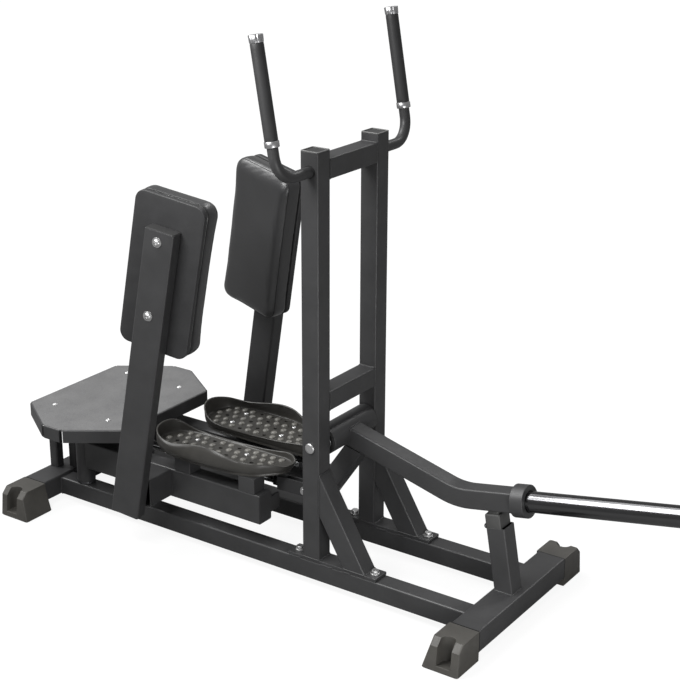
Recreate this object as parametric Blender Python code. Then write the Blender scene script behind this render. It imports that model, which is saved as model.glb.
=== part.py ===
"""Standing hip abductor machine, plate loaded.

Two foot and thigh levers swing outward about upright spindles at the rear.
Each drives a push rod, and both rods turn one crank that lifts the weight arm.
Dimensions are in millimetres: x forward from the front face of the uprights,
y to the left, z up from the floor. The right side is built and mirrored.
"""
import math

import bmesh
import bpy
from mathutils import Vector

for old in list(bpy.data.objects):
    bpy.data.objects.remove(old, do_unlink=True)

MM = 0.001
GAP = 0.3

# Shift that puts the middle of the machine's length at x = 0
X_SHIFT = 23.94

# Base frame
RAIL_INNER_Y = 97.0
RAIL_WIDTH = 50.0
RAIL_Y = RAIL_INNER_Y + RAIL_WIDTH / 2
RAIL_BOTTOM_Z = 21.0
RAIL_TOP_Z = 71.0
RAIL_REAR_X = -873.0
RAIL_FRONT_X = 415.0
BEAM_DEPTH = 75.0
BEAM_BOTTOM_Z = 22.0
BEAM_TOP_Z = 78.0
BEAM_END_Y = 211.0
TUBE_WALL = 3.0
CORNER_RADIUS = 5.0

# Foot caps at the ends of the two cross beams
CAP_END_Y = 305.0
CAP_BEVEL_Z = 61.0
CAP_BEVEL_LOW_Y = 298.5
CAP_BEVEL_Y = 283.0
CAP_FLARE = 18.0
CAP_STEP = 4.0
CAP_SLOT_HALF = 18.5
CAP_SLOT_LOW_Z = 16.0
CAP_SLOT_DEPTH = 40.0
CAP_PLUG_LENGTH = 26.0

# Uprights and what ties them
UPRIGHT_DEPTH = 50.0
UPRIGHT_TOP_Z = 1096.5
UPRIGHT_CAP_TOP_Z = 1099.5
UPRIGHT_PLUG_LENGTH = 16.0
PLATE_TOP_Z = 79.0
PLATE_REAR_X = -95.0
PLATE_FRONT_X = 166.0
PLATE_BOLT_X = (-75.0, 149.0)
TOP_BAR_Z = 1053.0
LOWER_BAR_Z = 485.0
BRACE_HEIGHT = 56.0
BRACE_LEAN = math.radians(30.5)
BRACE_HIGH_Z = 252.7

# Handlebars
BAR_Y = 266.0
BAR_START = Vector((-23.3, 0.0, 1052.0))
BAR_LEAN = math.radians(9.8)
BAR_BEND_RADIUS = 57.0
BAR_RADIUS = 13.0
BAR_WALL = 2.0
GRIP_RADIUS = 15.5
GRIP_START = 92.5
GRIP_END = 304.0
COLLAR_RADIUS = 17.0
COLLAR_START = 78.0
COLLAR_LENGTH = 14.0
END_CAP_LENGTH = 18.0

# Pivot of the weight arm
PIVOT = Vector((-25.0, 0.0, 374.0))
AXLE_RADIUS = 9.7
AXLE_BORE = 10.2
AXLE_CAP_RADIUS = 13.0
SLEEVE_RADIUS = 35.0
SLEEVE_BORE = 30.0
SLEEVE_HALF = 91.5
BUSH_FLANGE_RADIUS = 33.0

# Weight arm, stop collar and weight sleeve
ARM_SIZE = 50.0
ARM_DROP = math.radians(14.83)
ARM_BEND = Vector((308.0, 0.0, 285.9))
ARM_BEND_RADIUS = 165.0
ARM_RISE = math.radians(10.2)
COLLAR_REAR = Vector((459.0, 0.0, 312.8))
STOP_COLLAR_RADIUS = 39.5
STOP_COLLAR_THICK = 34.5
LOAD_RADIUS = 25.0
LOAD_LENGTH = 445.0
LOAD_CAP = 4.0

# Crank below the arm, its cross pin and the push rods
CRANK_TOP = Vector((15.3, 0.0, 336.0))
CRANK_DIRECTION = Vector((-0.5607, 0.0, -0.8281))
CRANK_LENGTH = 180.0
CRANK_PIN = Vector((-98.0, 0.0, 212.0))
CRANK_PIN_RADIUS = 10.0
JOURNAL_RADIUS = 8.0
JOURNAL_BORE = 8.5
JOURNAL_END_Y = 71.0
ROD_Y = 56.2
ROD_RADIUS = 9.0
ROD_REAR_Z = 201.0
YOKE_HALF = 12.0
YOKE_CHEEK = 5.0
YOKE_HEIGHT = 36.0
YOKE_BACK = 88.0
YOKE_WEB = 22.0
EYE_RADIUS = 16.0
EYE_BORE = 9.0
EYE_HALF = 8.0

# Levers: rear hinge, tube, brackets
HINGE = Vector((-800.0, -RAIL_Y, 0.0))
HUB_RADIUS = 25.0
HUB_BORE = 15.5
HUB_BOTTOM_Z = 78.5
HUB_TOP_Z = 206.0
SPINDLE_RADIUS = 15.0
SPINDLE_FLANGE_RADIUS = 24.5
LUG_RADIUS = 66.6
LUG_ANGLE = math.radians(12.5)
LUG_BOTTOM_Z = 183.0
LUG_TOP_Z = 191.0
LUG_HALF = 11.5
LINK_BOLT_RADIUS = 4.5
LEVER_BOTTOM_Z = 124.5
LEVER_TOP_Z = 204.0
LEVER_WIDTH = 50.0
LEVER_FRONT_X = -182.0
LEVER_INNER_Y = 99.0
CROSS_REAR_X = -543.0
CROSS_FRONT_X = -467.0
CROSS_BOTTOM_Z = 128.0
CROSS_TOP_Z = 203.0

# Pad posts and pads
POST_CORNER = Vector((-556.4, -286.5, 119.4))
POST_YAW = math.radians(9.5)
POST_LEAN = math.radians(10.2)
POST_DEPTH = 80.0
POST_WIDTH = 38.0
POST_LENGTH = 779.0
PAD_WIDTH = 209.0
PAD_HEIGHT = 414.5
PAD_CENTRE_ALONG = 655.0
PAD_CENTRE_ACROSS = 39.0
BOARD_INSET = 7.5
BOARD_THICK = 16.0
CUSHION_THICK = 56.0
PAD_CORNER = 35.5
PAD_CORNER_LEAST = 10.0
PAD_BOLT_OFFSET = 96.0
PAD_BOLT_ACROSS = 38.0
PAD_BOLT_RADIUS = 4.0

# Pedals: for each point of the outline the rim's x, distance from the centre plane
# and height, then the base's x and distance, then how far the wall bulges between them
PEDAL_BASE_Z = 245.0
PEDAL_FLOOR_Z = 265.5
PEDAL_BULGE_Z = 268.0
PEDAL_RIM = (
    (-137, 55, 278, -153, 53, 0),
    (-150, 41, 281, -162, 42, 0),
    (-166, 32, 282, -174, 36, 0),
    (-185, 28, 281, -190, 34, 0),
    (-215, 28, 277, -216, 34, 0),
    (-250, 28, 273, -250, 34, 0),
    (-300, 28, 270, -300, 34, 0),
    (-360, 28, 268, -360, 34, 0),
    (-420, 28, 268, -420, 34, 0),
    (-465, 30, 271, -463, 35, 0),
    (-495, 36, 280, -490, 41, 0),
    (-516, 48, 294, -508, 52, 0),
    (-529, 66, 302, -519, 69, 0),
    (-535, 88, 304, -523, 89, 0),
    (-535, 110, 303, -523, 108, 1),
    (-528, 130, 300, -515, 126, 3),
    (-511, 149, 296, -499, 142, 5),
    (-487, 161, 291, -477, 152, 8),
    (-455, 168, 289, -448, 158, 11),
    (-420, 170, 294, -416, 161, 12),
    (-385, 170, 301, -382, 161, 12),
    (-345, 170, 306, -345, 160, 12),
    (-310, 168, 304, -310, 158, 12),
    (-283, 163, 297, -281, 156, 10),
    (-260, 155, 289, -259, 152, 8),
    (-238, 147, 283, -238, 147, 6),
    (-216, 139, 280, -217, 140, 4),
    (-197, 127, 278, -199, 129, 3),
    (-183, 113, 276, -184, 114, 2),
    (-168, 98, 273, -171, 98, 1),
    (-150, 86, 271, -160, 83, 0),
    (-138, 71, 274, -153, 67, 0),
)
PEDAL_WALL = 4.0
# Risers on the lever tube and the plate they carry, which the pedal is screwed to
PEDAL_RISER_X = ((-247.0, -197.0), (-455.0, -405.0))
PEDAL_PLATE_LOW = (-462.0, 60.0, 256.0)
PEDAL_PLATE_HIGH = (-256.0, 147.0, 261.2)
PEDAL_TAB_LOW = (-262.0, 104.6, 240.0)
PEDAL_TAB_HIGH = (-206.0, 118.0, 261.2)

# Step-on platform at the rear
PLATFORM_TOP_Z = 286.0
PLATFORM_PLATE = 3.5
PLATFORM_SKIRT_Z = 250.0
PLATFORM_OUTLINE = (
    (-949.0, -172.0),
    (-808.0, -267.0),
    (-742.0, -267.0),
    (-605.0, -172.0),
    (-605.0, 172.0),
    (-742.0, 267.0),
    (-808.0, 267.0),
    (-949.0, 172.0),
)
STAND_TUBE = 30.0
LEG_TUBE = 28.0
LEG_REAR = (-929.5, 103.0)
LEG_FRONT = (-886.0, 73.0)
STAND_FLAT = 24.0
STAND_FLAT_THICK = 10.0
STAND_INNER_Y = 88.0
STAND_OUTER_Y = 118.0
STAND_ARM_Y = 165.0
STAND_TOP_Z = 282.0
STAND_CROSS_X = (-880.0, -686.0)
SCREW_Y = 145.0

# Post and buffer the weight arm comes to rest on
REST_REAR_LOW = Vector((421.0, 0.0, 77.4))
REST_REAR_HIGH = Vector((393.4, 0.0, 233.0))
REST_SIZE = 50.0
REST_BLOCK_LENGTH = 41.0
REST_BLOCK_WIDTH = 49.0
REST_BLOCK_HEIGHT = 35.0
REST_BLOCK_SHIFT = 4.5
REST_GAP = 0.5

X = Vector((1.0, 0.0, 0.0))
Y = Vector((0.0, 1.0, 0.0))
Z = Vector((0.0, 0.0, 1.0))


# Materials

def material(name, colour, roughness, metallic=0.0):
    item = bpy.data.materials.new(name)
    item.use_nodes = True
    shader = item.node_tree.nodes["Principled BSDF"]
    shader.inputs["Base Color"].default_value = (*colour, 1.0)
    shader.inputs["Roughness"].default_value = roughness
    shader.inputs["Metallic"].default_value = metallic
    return item


FRAME = material("frame_paint", (0.045, 0.045, 0.048), 0.42, 0.2)
CHROME = material("chrome", (0.62, 0.63, 0.65), 0.12, 1.0)
STEEL = material("zinc_steel", (0.55, 0.55, 0.56), 0.35, 1.0)
VINYL = material("pad_vinyl", (0.05, 0.05, 0.052), 0.62)
BOARD = material("pad_board", (0.03, 0.03, 0.03), 0.7)
GRIP = material("grip_rubber", (0.04, 0.04, 0.042), 0.75)
FOOT = material("foot_plastic", (0.085, 0.085, 0.075), 0.55)
TRAY = material("pedal_plastic", (0.05, 0.05, 0.045), 0.5)
BUFFER = material("buffer_rubber", (0.02, 0.02, 0.02), 0.85)
TREAD = material("platform_tread", (0.2, 0.2, 0.2), 0.85)
PLUG = material("tube_plug", (0.025, 0.025, 0.025), 0.6)
BUSH = material("bush_nylon", (0.03, 0.03, 0.03), 0.6)


# Shapes: each one is a list of points and a list of faces

def rounded(width, height, radius, steps=2):
    """Outline of a rectangle with rounded corners, centred on zero."""
    points = []
    centres = (
        (width / 2 - radius, height / 2 - radius, 0.0),
        (radius - width / 2, height / 2 - radius, 90.0),
        (radius - width / 2, radius - height / 2, 180.0),
        (width / 2 - radius, radius - height / 2, 270.0),
    )
    for across, up, start in centres:
        for step in range(steps + 1):
            angle = math.radians(start + 90.0 * step / steps)
            points.append((across + radius * math.cos(angle), up + radius * math.sin(angle)))
    return points


def circle(radius, count):
    """Outline of a circle centred on zero."""
    points = []
    for step in range(count):
        angle = 2 * math.pi * step / count
        points.append((radius * math.cos(angle), radius * math.sin(angle)))
    return points


def join(*shapes):
    """Several bodies in one shape."""
    points = []
    faces = []
    for more_points, more_faces in shapes:
        start = len(points)
        points.extend(more_points)
        for face in more_faces:
            faces.append([start + index for index in face])
    return points, faces


def mirrored(shape):
    """The same shape on the other side of the centre plane."""
    points, faces = shape
    flipped = [Vector((p.x, -p.y, p.z)) for p in points]
    return flipped, [list(reversed(face)) for face in faces]


def stack(loops):
    """Closed solid through loops of equal count."""
    count = len(loops[0])
    points = [point for loop in loops for point in loop]
    faces = []
    for level in range(len(loops) - 1):
        low = level * count
        for step in range(count):
            after = (step + 1) % count
            faces.append([low + step, low + after, low + count + after, low + count + step])
    top = (len(loops) - 1) * count
    faces.append([count - 1 - step for step in range(count)])
    faces.append([top + step for step in range(count)])
    return points, faces


def path_loops(path, side, outline, start=None, end=None):
    """The outline carried along the path, mitred where the path turns."""
    runs = [(path[i + 1] - path[i]).normalized() for i in range(len(path) - 1)]
    loops = []
    for index, place in enumerate(path):
        run = runs[min(index, len(runs) - 1)]
        if index == 0:
            normal = start or run
        elif index == len(path) - 1:
            normal = end or run
        else:
            normal = (runs[index - 1] + runs[index]).normalized()
            run = runs[index - 1]
        up = run.cross(side).normalized()
        loop = []
        for across, over in outline:
            point = place + side * across + up * over
            point = point - run * ((point - place).dot(normal) / run.dot(normal))
            loop.append(point)
        loops.append(loop)
    return loops


def bar(path, side, outline, start=None, end=None):
    """Solid bar along a path."""
    return stack(path_loops(path, side, outline, start, end))


def tube(path, side, outline, bore, start=None, end=None):
    """Hollow tube along a path, open at both ends."""
    outer = path_loops(path, side, outline, start, end)
    inner = path_loops(path, side, bore, start, end)
    count = len(outline)
    loops = outer + list(reversed(inner))
    points = [point for loop in loops for point in loop]
    faces = []
    for level in range(len(loops)):
        low = level * count
        high = ((level + 1) % len(loops)) * count
        for step in range(count):
            after = (step + 1) % count
            faces.append([low + step, low + after, high + after, high + step])
    return points, faces


def box_tube(path, side, width, height, wall=TUBE_WALL, start=None, end=None):
    """Straight or bent rectangular tube with rounded corners."""
    outline = rounded(width, height, CORNER_RADIUS)
    bore = rounded(width - 2 * wall, height - 2 * wall, CORNER_RADIUS - wall)
    return tube(path, side, outline, bore, start, end)


def block(low, high, radius=2.0):
    """Box between two corners, its upright edges rounded."""
    outline = rounded(high[0] - low[0], high[1] - low[1], radius)
    middle = ((low[0] + high[0]) / 2, (low[1] + high[1]) / 2)
    loops = []
    for level in (low[2], high[2]):
        loops.append([Vector((middle[0] + a, middle[1] + b, level)) for a, b in outline])
    return stack(loops)


def turned(centre, axis, profile, count=20, ring=False):
    """Body of revolution; the profile holds distances along the axis and radii."""
    axis = axis.normalized()
    side = axis.orthogonal().normalized()
    up = axis.cross(side)
    points = []
    rows = []
    for along, radius in profile:
        middle = centre + axis * along
        if radius == 0:
            rows.append([len(points)])
            points.append(middle)
            continue
        rows.append(list(range(len(points), len(points) + count)))
        for across, over in circle(radius, count):
            points.append(middle + side * across + up * over)
    faces = []
    last = len(rows) if ring else len(rows) - 1
    for index in range(last):
        here = rows[index]
        there = rows[(index + 1) % len(rows)]
        for step in range(count):
            after = (step + 1) % count
            if len(here) == 1:
                faces.append([here[0], there[step], there[after]])
            elif len(there) == 1:
                faces.append([here[step], here[after], there[0]])
            else:
                faces.append([here[step], here[after], there[after], there[step]])
    return points, faces


def disc(centre, axis, radius, length, count=20, chamfer=0.0):
    """Solid cylinder from a face centre, with an optional chamfer at the far end."""
    profile = [(0.0, 0), (0.0, radius)]
    if chamfer:
        profile += [(length - chamfer, radius), (length, radius - chamfer)]
    else:
        profile += [(length, radius)]
    profile += [(length, 0)]
    return turned(centre, axis, profile, count)


def ring(centre, axis, radius, bore, length, count=24, chamfer=0.0):
    """Hollow cylinder from a face centre, with optional outer chamfers."""
    if chamfer:
        profile = [(0.0, bore), (0.0, radius - chamfer), (chamfer, radius)]
        profile += [(length - chamfer, radius), (length, radius - chamfer), (length, bore)]
    else:
        profile = [(0.0, bore), (0.0, radius), (length, radius), (length, bore)]
    return turned(centre, axis, profile, count, ring=True)


# Objects

def world(point):
    """Machine millimetres to scene metres."""
    return Vector(((point.x + X_SHIFT) * MM, point.y * MM, point.z * MM))


def axis_empty(name, place, parent=None):
    """Empty on a joint's axis."""
    empty = bpy.data.objects.new(name, None)
    bpy.context.scene.collection.objects.link(empty)
    empty.location = world(place)
    if parent:
        empty.parent = parent
        empty.location = world(place) - world(parent_place[parent.name])
    parent_place[name] = place
    return empty


def add(name, shape, finish, parent=None, smooth=None):
    """One named object; its origin is its parent's axis or its own middle."""
    points, faces = shape
    if parent:
        origin = parent_place[parent.name]
    else:
        total = Vector((0.0, 0.0, 0.0))
        for point in points:
            total += point
        origin = total / len(points)
    mesh = bpy.data.meshes.new(name)
    start = world(origin)
    mesh.from_pydata([world(point) - start for point in points], [], faces)
    work = bmesh.new()
    work.from_mesh(mesh)
    bmesh.ops.recalc_face_normals(work, faces=work.faces)
    work.to_mesh(mesh)
    work.free()
    if smooth:
        mesh.polygons.foreach_set("use_smooth", [True] * len(mesh.polygons))
        mesh.set_sharp_from_angle(angle=math.radians(smooth))
    if finish:
        mesh.materials.append(finish)
    item = bpy.data.objects.new(name, mesh)
    bpy.context.scene.collection.objects.link(item)
    if parent:
        item.parent = parent
    else:
        item.location = start
    return item


def apply_boolean(item, shape, operation):
    """Cut a shape out of an object, or weld it on."""
    count = len(item.modifiers) + 1
    tool = add(item.name + "_tool_" + str(count), shape, None, item.parent)
    tool.hide_render = True
    tool.display_type = "WIRE"
    change = item.modifiers.new(operation.lower(), "BOOLEAN")
    change.operation = operation
    change.solver = "EXACT"
    change.object = tool


def cut(item, *shapes):
    apply_boolean(item, join(*shapes), "DIFFERENCE")


def weld(item, *shapes):
    for shape in shapes:
        apply_boolean(item, shape, "UNION")


parent_place = {}
SMOOTH = 40.0
SIDES = (("right", lambda shape: shape), ("left", mirrored))


def right(y):
    """Distance from the centre plane, on the right side."""
    return -y


# Base frame

RAIL_MIDDLE_Z = (RAIL_BOTTOM_Z + RAIL_TOP_Z) / 2
RAIL_HEIGHT = RAIL_TOP_Z - RAIL_BOTTOM_Z
rail = box_tube(
    [
        Vector((RAIL_REAR_X + GAP, right(RAIL_Y), RAIL_MIDDLE_Z)),
        Vector((RAIL_FRONT_X - GAP, right(RAIL_Y), RAIL_MIDDLE_Z)),
    ],
    Y,
    RAIL_WIDTH,
    RAIL_HEIGHT,
)
BOLT_SHANK = 5.7
BOLT_HOLE = 6.2


def plate_bolt(x):
    """Washer and stem of a bolt through a base plate into the rail, and its head."""
    place = Vector((x, right(RAIL_Y), PLATE_TOP_Z + GAP))
    stem = turned(
        place,
        Z,
        [(-20.0, 0), (-20.0, BOLT_SHANK), (0.0, BOLT_SHANK), (0.0, 12.0), (2.2, 12.0), (2.2, 0)],
        20,
    )
    head = turned(place, Z, [(1.0, 0), (1.0, 10.5), (9.5, 10.5), (10.5, 9.0), (10.5, 0)], 6)
    return stem, head


bolt_holes = [
    disc(Vector((x, right(RAIL_Y), RAIL_TOP_Z - 12.0)), Z, BOLT_HOLE, 30.0, 16) for x in PLATE_BOLT_X
]
plate = block(
    (PLATE_REAR_X, right(RAIL_Y) - RAIL_WIDTH / 2, RAIL_TOP_Z + GAP),
    (PLATE_FRONT_X, right(RAIL_Y) + RAIL_WIDTH / 2, PLATE_TOP_Z),
)
for side, turn in SIDES:
    piece = add("rail_" + side, turn(rail), FRAME)
    cut(piece, *[turn(hole) for hole in bolt_holes])
    piece = add("base_plate_" + side, turn(plate), FRAME)
    cut(piece, *[turn(hole) for hole in bolt_holes])
    for place, x in zip(("rear", "front"), PLATE_BOLT_X):
        stem, head = plate_bolt(x)
        piece = add("base_bolt_" + place + "_" + side, turn(stem), STEEL, smooth=SMOOTH)
        weld(piece, turn(head))

BEAM_HEIGHT = BEAM_TOP_Z - BEAM_BOTTOM_Z
BEAM_MIDDLE_Z = (BEAM_TOP_Z + BEAM_BOTTOM_Z) / 2
FRONT_BEAM_X = RAIL_FRONT_X + BEAM_DEPTH / 2
REAR_BEAM_X = RAIL_REAR_X - BEAM_DEPTH / 2
for name, x in (("front_cross_beam", FRONT_BEAM_X), ("rear_cross_beam", REAR_BEAM_X)):
    ends = [Vector((x, y, BEAM_MIDDLE_Z)) for y in (-BEAM_END_Y + GAP, BEAM_END_Y - GAP)]
    add(name, box_tube(ends, X, BEAM_DEPTH, BEAM_HEIGHT), FRAME)


def foot_cap(x, inward):
    """Right-hand foot cap: a body on the floor and a plug inside the beam."""
    half = BEAM_DEPTH / 2
    outer = x - inward * half
    inner_high = x + inward * (half + CAP_STEP)
    inner_low = inner_high + inward * CAP_FLARE

    def corner(level):
        share = max(0.0, 1.0 - level / CAP_BEVEL_Z)
        return inner_high + (inner_low - inner_high) * share

    levels = (
        (0.0, CAP_END_Y - 3.0, 3.0),
        (3.0, CAP_END_Y, 0.0),
        (CAP_BEVEL_Z, CAP_BEVEL_LOW_Y, 0.0),
        (BEAM_TOP_Z - 1.0, CAP_BEVEL_Y, 0.0),
        (BEAM_TOP_Z, CAP_BEVEL_Y - 1.0, 1.0),
    )
    loops = []
    for level, end, inset in levels:
        near = min(outer, corner(level)) + inset
        far = max(outer, corner(level)) - inset
        rim = 5.0
        loop = [
            Vector((near, right(BEAM_END_Y) - inset, level)),
            Vector((far, right(BEAM_END_Y) - inset, level)),
            Vector((far, right(end) + rim, level)),
            Vector((far - rim * 0.3, right(end) + rim * 0.3, level)),
            Vector((far - rim, right(end), level)),
            Vector((near + rim, right(end), level)),
            Vector((near + rim * 0.3, right(end) + rim * 0.3, level)),
            Vector((near, right(end) + rim, level)),
        ]
        loops.append(loop)
    body = stack(loops)

    middle = (outer + inner_high) / 2
    round_y = right(CAP_END_Y - CAP_SLOT_DEPTH + CAP_SLOT_HALF)
    outline = [(-CAP_SLOT_HALF, right(CAP_END_Y + 5.0)), (CAP_SLOT_HALF, right(CAP_END_Y + 5.0))]
    for step in range(9):
        angle = math.pi * step / 8
        outline.append((CAP_SLOT_HALF * math.cos(angle), round_y + CAP_SLOT_HALF * math.sin(angle)))
    slot_loops = []
    for level in (CAP_SLOT_LOW_Z, BEAM_TOP_Z + 5.0):
        slot_loops.append([Vector((middle + a, b, level)) for a, b in outline])
    slot = stack(slot_loops)
    plug_width = BEAM_DEPTH - 2 * TUBE_WALL - 1.0
    plug_height = BEAM_HEIGHT - 2 * TUBE_WALL - 1.0
    plug = bar(
        [
            Vector((x, right(BEAM_END_Y + 5.0), BEAM_MIDDLE_Z)),
            Vector((x, right(BEAM_END_Y - CAP_PLUG_LENGTH), BEAM_MIDDLE_Z)),
        ],
        X,
        rounded(plug_width, plug_height, 2.0, 1),
    )
    return body, slot, plug


for place, x, inward in (("front", FRONT_BEAM_X, -1), ("rear", REAR_BEAM_X, 1)):
    body, slot, plug = foot_cap(x, inward)
    for side, turn in SIDES:
        cap = add("foot_cap_" + place + "_" + side, turn(body), FOOT)
        weld(cap, turn(plug))
        cut(cap, turn(slot))


# Uprights, crossbars and braces

UPRIGHT_X = -UPRIGHT_DEPTH / 2
upright = box_tube(
    [
        Vector((UPRIGHT_X, right(RAIL_Y), PLATE_TOP_Z + GAP)),
        Vector((UPRIGHT_X, right(RAIL_Y), UPRIGHT_TOP_Z)),
    ],
    Y,
    RAIL_WIDTH,
    UPRIGHT_DEPTH,
)
axle_hole = disc(Vector((PIVOT.x, right(RAIL_Y + 40.0), PIVOT.z)), Y, AXLE_BORE, 80.0, 20)
BRACE_RUN = Vector((math.sin(BRACE_LEAN), 0.0, -math.cos(BRACE_LEAN)))
brace_top = Vector((GAP, right(RAIL_Y), BRACE_HIGH_Z))
brace_drop = (BRACE_HIGH_Z - PLATE_TOP_Z - GAP) / math.cos(BRACE_LEAN)
brace = box_tube(
    [brace_top, brace_top + BRACE_RUN * brace_drop],
    Y,
    RAIL_WIDTH,
    BRACE_HEIGHT,
    start=X,
    end=-Z,
)
for side, turn in SIDES:
    post = add("upright_" + side, turn(upright), FRAME)
    cut(post, turn(axle_hole))
    add("brace_" + side, turn(brace), FRAME)

for name, level in (("top_crossbar", TOP_BAR_Z), ("lower_crossbar", LOWER_BAR_Z)):
    ends = [Vector((UPRIGHT_X, y, level)) for y in (-RAIL_INNER_Y + GAP, RAIL_INNER_Y - GAP)]
    add(name, box_tube(ends, X, UPRIGHT_DEPTH, UPRIGHT_DEPTH), FRAME)


def tube_plug(centre, axis, side, width, height, thick, depth):
    """Plastic plug: a lid on the tube's end and a stem inside it."""
    lid = rounded(width, height, CORNER_RADIUS)
    lid_small = rounded(width - 3.0, height - 3.0, CORNER_RADIUS - 1.5)
    stem = rounded(width - 2 * TUBE_WALL - 1.0, height - 2 * TUBE_WALL - 1.0, 2.0)
    up = axis.cross(side).normalized()
    loops = []
    for along, outline in ((-depth, stem), (GAP, stem), (GAP, lid), (thick - 1.0, lid), (thick, lid_small)):
        loops.append([centre + axis * along + side * a + up * b for a, b in outline])
    return stack(loops)


upright_plug = tube_plug(
    Vector((UPRIGHT_X, right(RAIL_Y), UPRIGHT_TOP_Z)),
    Z,
    X,
    UPRIGHT_DEPTH,
    RAIL_WIDTH,
    UPRIGHT_CAP_TOP_Z - UPRIGHT_TOP_Z,
    UPRIGHT_PLUG_LENGTH,
)
for side, turn in SIDES:
    add("upright_cap_" + side, turn(upright_plug), PLUG)


# Handlebars

BAR_UP = Vector((-math.sin(BAR_LEAN), 0.0, math.cos(BAR_LEAN)))
BAR_SIDE = BAR_UP.cross(Y).normalized()


def bar_point(distance, along):
    """Point at a distance from the centre plane and along the leaning bar."""
    return BAR_START + BAR_UP * along + Y * right(distance)


bend_steps = 6
bar_path = [bar_point(RAIL_INNER_Y + RAIL_WIDTH + GAP, 0.0)]
for step in range(bend_steps + 1):
    angle = math.radians(90.0 * step / bend_steps)
    distance = BAR_Y - BAR_BEND_RADIUS * (1.0 - math.sin(angle))
    bar_path.append(bar_point(distance, BAR_BEND_RADIUS * (1.0 - math.cos(angle))))
bar_path.append(bar_point(BAR_Y, GRIP_END - GAP))
handlebar = tube(
    bar_path,
    BAR_SIDE,
    circle(BAR_RADIUS, 14),
    circle(BAR_RADIUS - BAR_WALL, 14),
    start=Y,
)
grip = turned(
    bar_point(BAR_Y, GRIP_START),
    BAR_UP,
    [
        (0.0, BAR_RADIUS + GAP),
        (0.0, GRIP_RADIUS),
        (GRIP_END - GRIP_START - GAP, GRIP_RADIUS),
        (GRIP_END - GRIP_START - GAP, BAR_RADIUS + GAP),
    ],
    20,
    ring=True,
)
collar = ring(
    bar_point(BAR_Y, COLLAR_START), BAR_UP, COLLAR_RADIUS, BAR_RADIUS - 1.0, COLLAR_LENGTH, 20, 1.5
)
end_cap = turned(
    bar_point(BAR_Y, GRIP_END),
    BAR_UP,
    [
        (-12.0, 0),
        (-12.0, BAR_RADIUS - BAR_WALL - GAP),
        (0.0, BAR_RADIUS - BAR_WALL - GAP),
        (0.0, COLLAR_RADIUS - 1.0),
        (1.0, COLLAR_RADIUS),
        (END_CAP_LENGTH - 2.0, COLLAR_RADIUS),
        (END_CAP_LENGTH, COLLAR_RADIUS - 2.5),
        (END_CAP_LENGTH, 0),
    ],
    20,
)
for side, turn in SIDES:
    piece = add("handlebar_" + side, turn(handlebar), FRAME, smooth=SMOOTH)
    weld(piece, turn(collar))
    add("grip_" + side, turn(grip), GRIP, smooth=SMOOTH)
    add("grip_end_cap_" + side, turn(end_cap), CHROME, smooth=SMOOTH)


# Pivot axle, with a domed cap outside each upright

OUTER_Y = RAIL_INNER_Y + RAIL_WIDTH
dome = [(6.5, 0), (6.0, 5.5), (4.5, 10.0), (2.0, AXLE_CAP_RADIUS), (GAP, AXLE_CAP_RADIUS)]
axle_profile = [(-OUTER_Y - along, radius) for along, radius in dome]
axle_profile += [(-OUTER_Y - GAP, AXLE_RADIUS), (OUTER_Y + GAP, AXLE_RADIUS)]
axle_profile += [(OUTER_Y + along, radius) for along, radius in reversed(dome)]
add("pivot_axle", turned(PIVOT, Y, axle_profile, 20), STEEL, smooth=SMOOTH)


# Weight arm, everything that turns about the pivot

arm_axis = axis_empty("weight_arm_axis", PIVOT)
ARM_RUN = Vector((math.cos(ARM_DROP), 0.0, -math.sin(ARM_DROP)))
LOAD_RUN = Vector((math.cos(ARM_RISE), 0.0, math.sin(ARM_RISE)))
LOAD_UP = Vector((-math.sin(ARM_RISE), 0.0, math.cos(ARM_RISE)))
ARM_UP = Vector((math.sin(ARM_DROP), 0.0, math.cos(ARM_DROP)))
bend_start = ARM_BEND - ARM_RUN * (ARM_BEND_RADIUS * math.tan((ARM_DROP + ARM_RISE) / 2))
bend_centre = bend_start + ARM_UP * ARM_BEND_RADIUS
arm_path = [PIVOT + ARM_RUN * 10.0]
for step in range(6):
    angle = (ARM_DROP + ARM_RISE) * step / 5 - ARM_DROP
    arm_path.append(
        bend_centre + Vector((math.sin(angle), 0.0, -math.cos(angle))) * ARM_BEND_RADIUS
    )
arm_path.append(COLLAR_REAR - LOAD_RUN * GAP)
arm = box_tube(
    arm_path,
    Y,
    ARM_SIZE,
    ARM_SIZE,
)
sleeve_space = disc(PIVOT - Y * 60.0, Y, SLEEVE_RADIUS + GAP, 120.0, 28)
piece = add("weight_arm", arm, FRAME, arm_axis)
cut(piece, sleeve_space)
add(
    "pivot_sleeve",
    ring(PIVOT - Y * SLEEVE_HALF, Y, SLEEVE_RADIUS, SLEEVE_BORE, 2 * SLEEVE_HALF, 28, 2.5),
    FRAME,
    arm_axis,
    SMOOTH,
)
bush = turned(
    PIVOT - Y * (RAIL_INNER_Y - 1.0),
    Y,
    [
        (0.0, AXLE_BORE),
        (0.0, BUSH_FLANGE_RADIUS),
        (RAIL_INNER_Y - 1.0 - SLEEVE_HALF - GAP, BUSH_FLANGE_RADIUS),
        (RAIL_INNER_Y - 1.0 - SLEEVE_HALF - GAP, SLEEVE_BORE - GAP),
        (40.0, SLEEVE_BORE - GAP),
        (40.0, AXLE_BORE),
    ],
    24,
    ring=True,
)
for side, turn in SIDES:
    add("pivot_bush_" + side, turn(bush), BUSH, arm_axis, SMOOTH)

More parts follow.
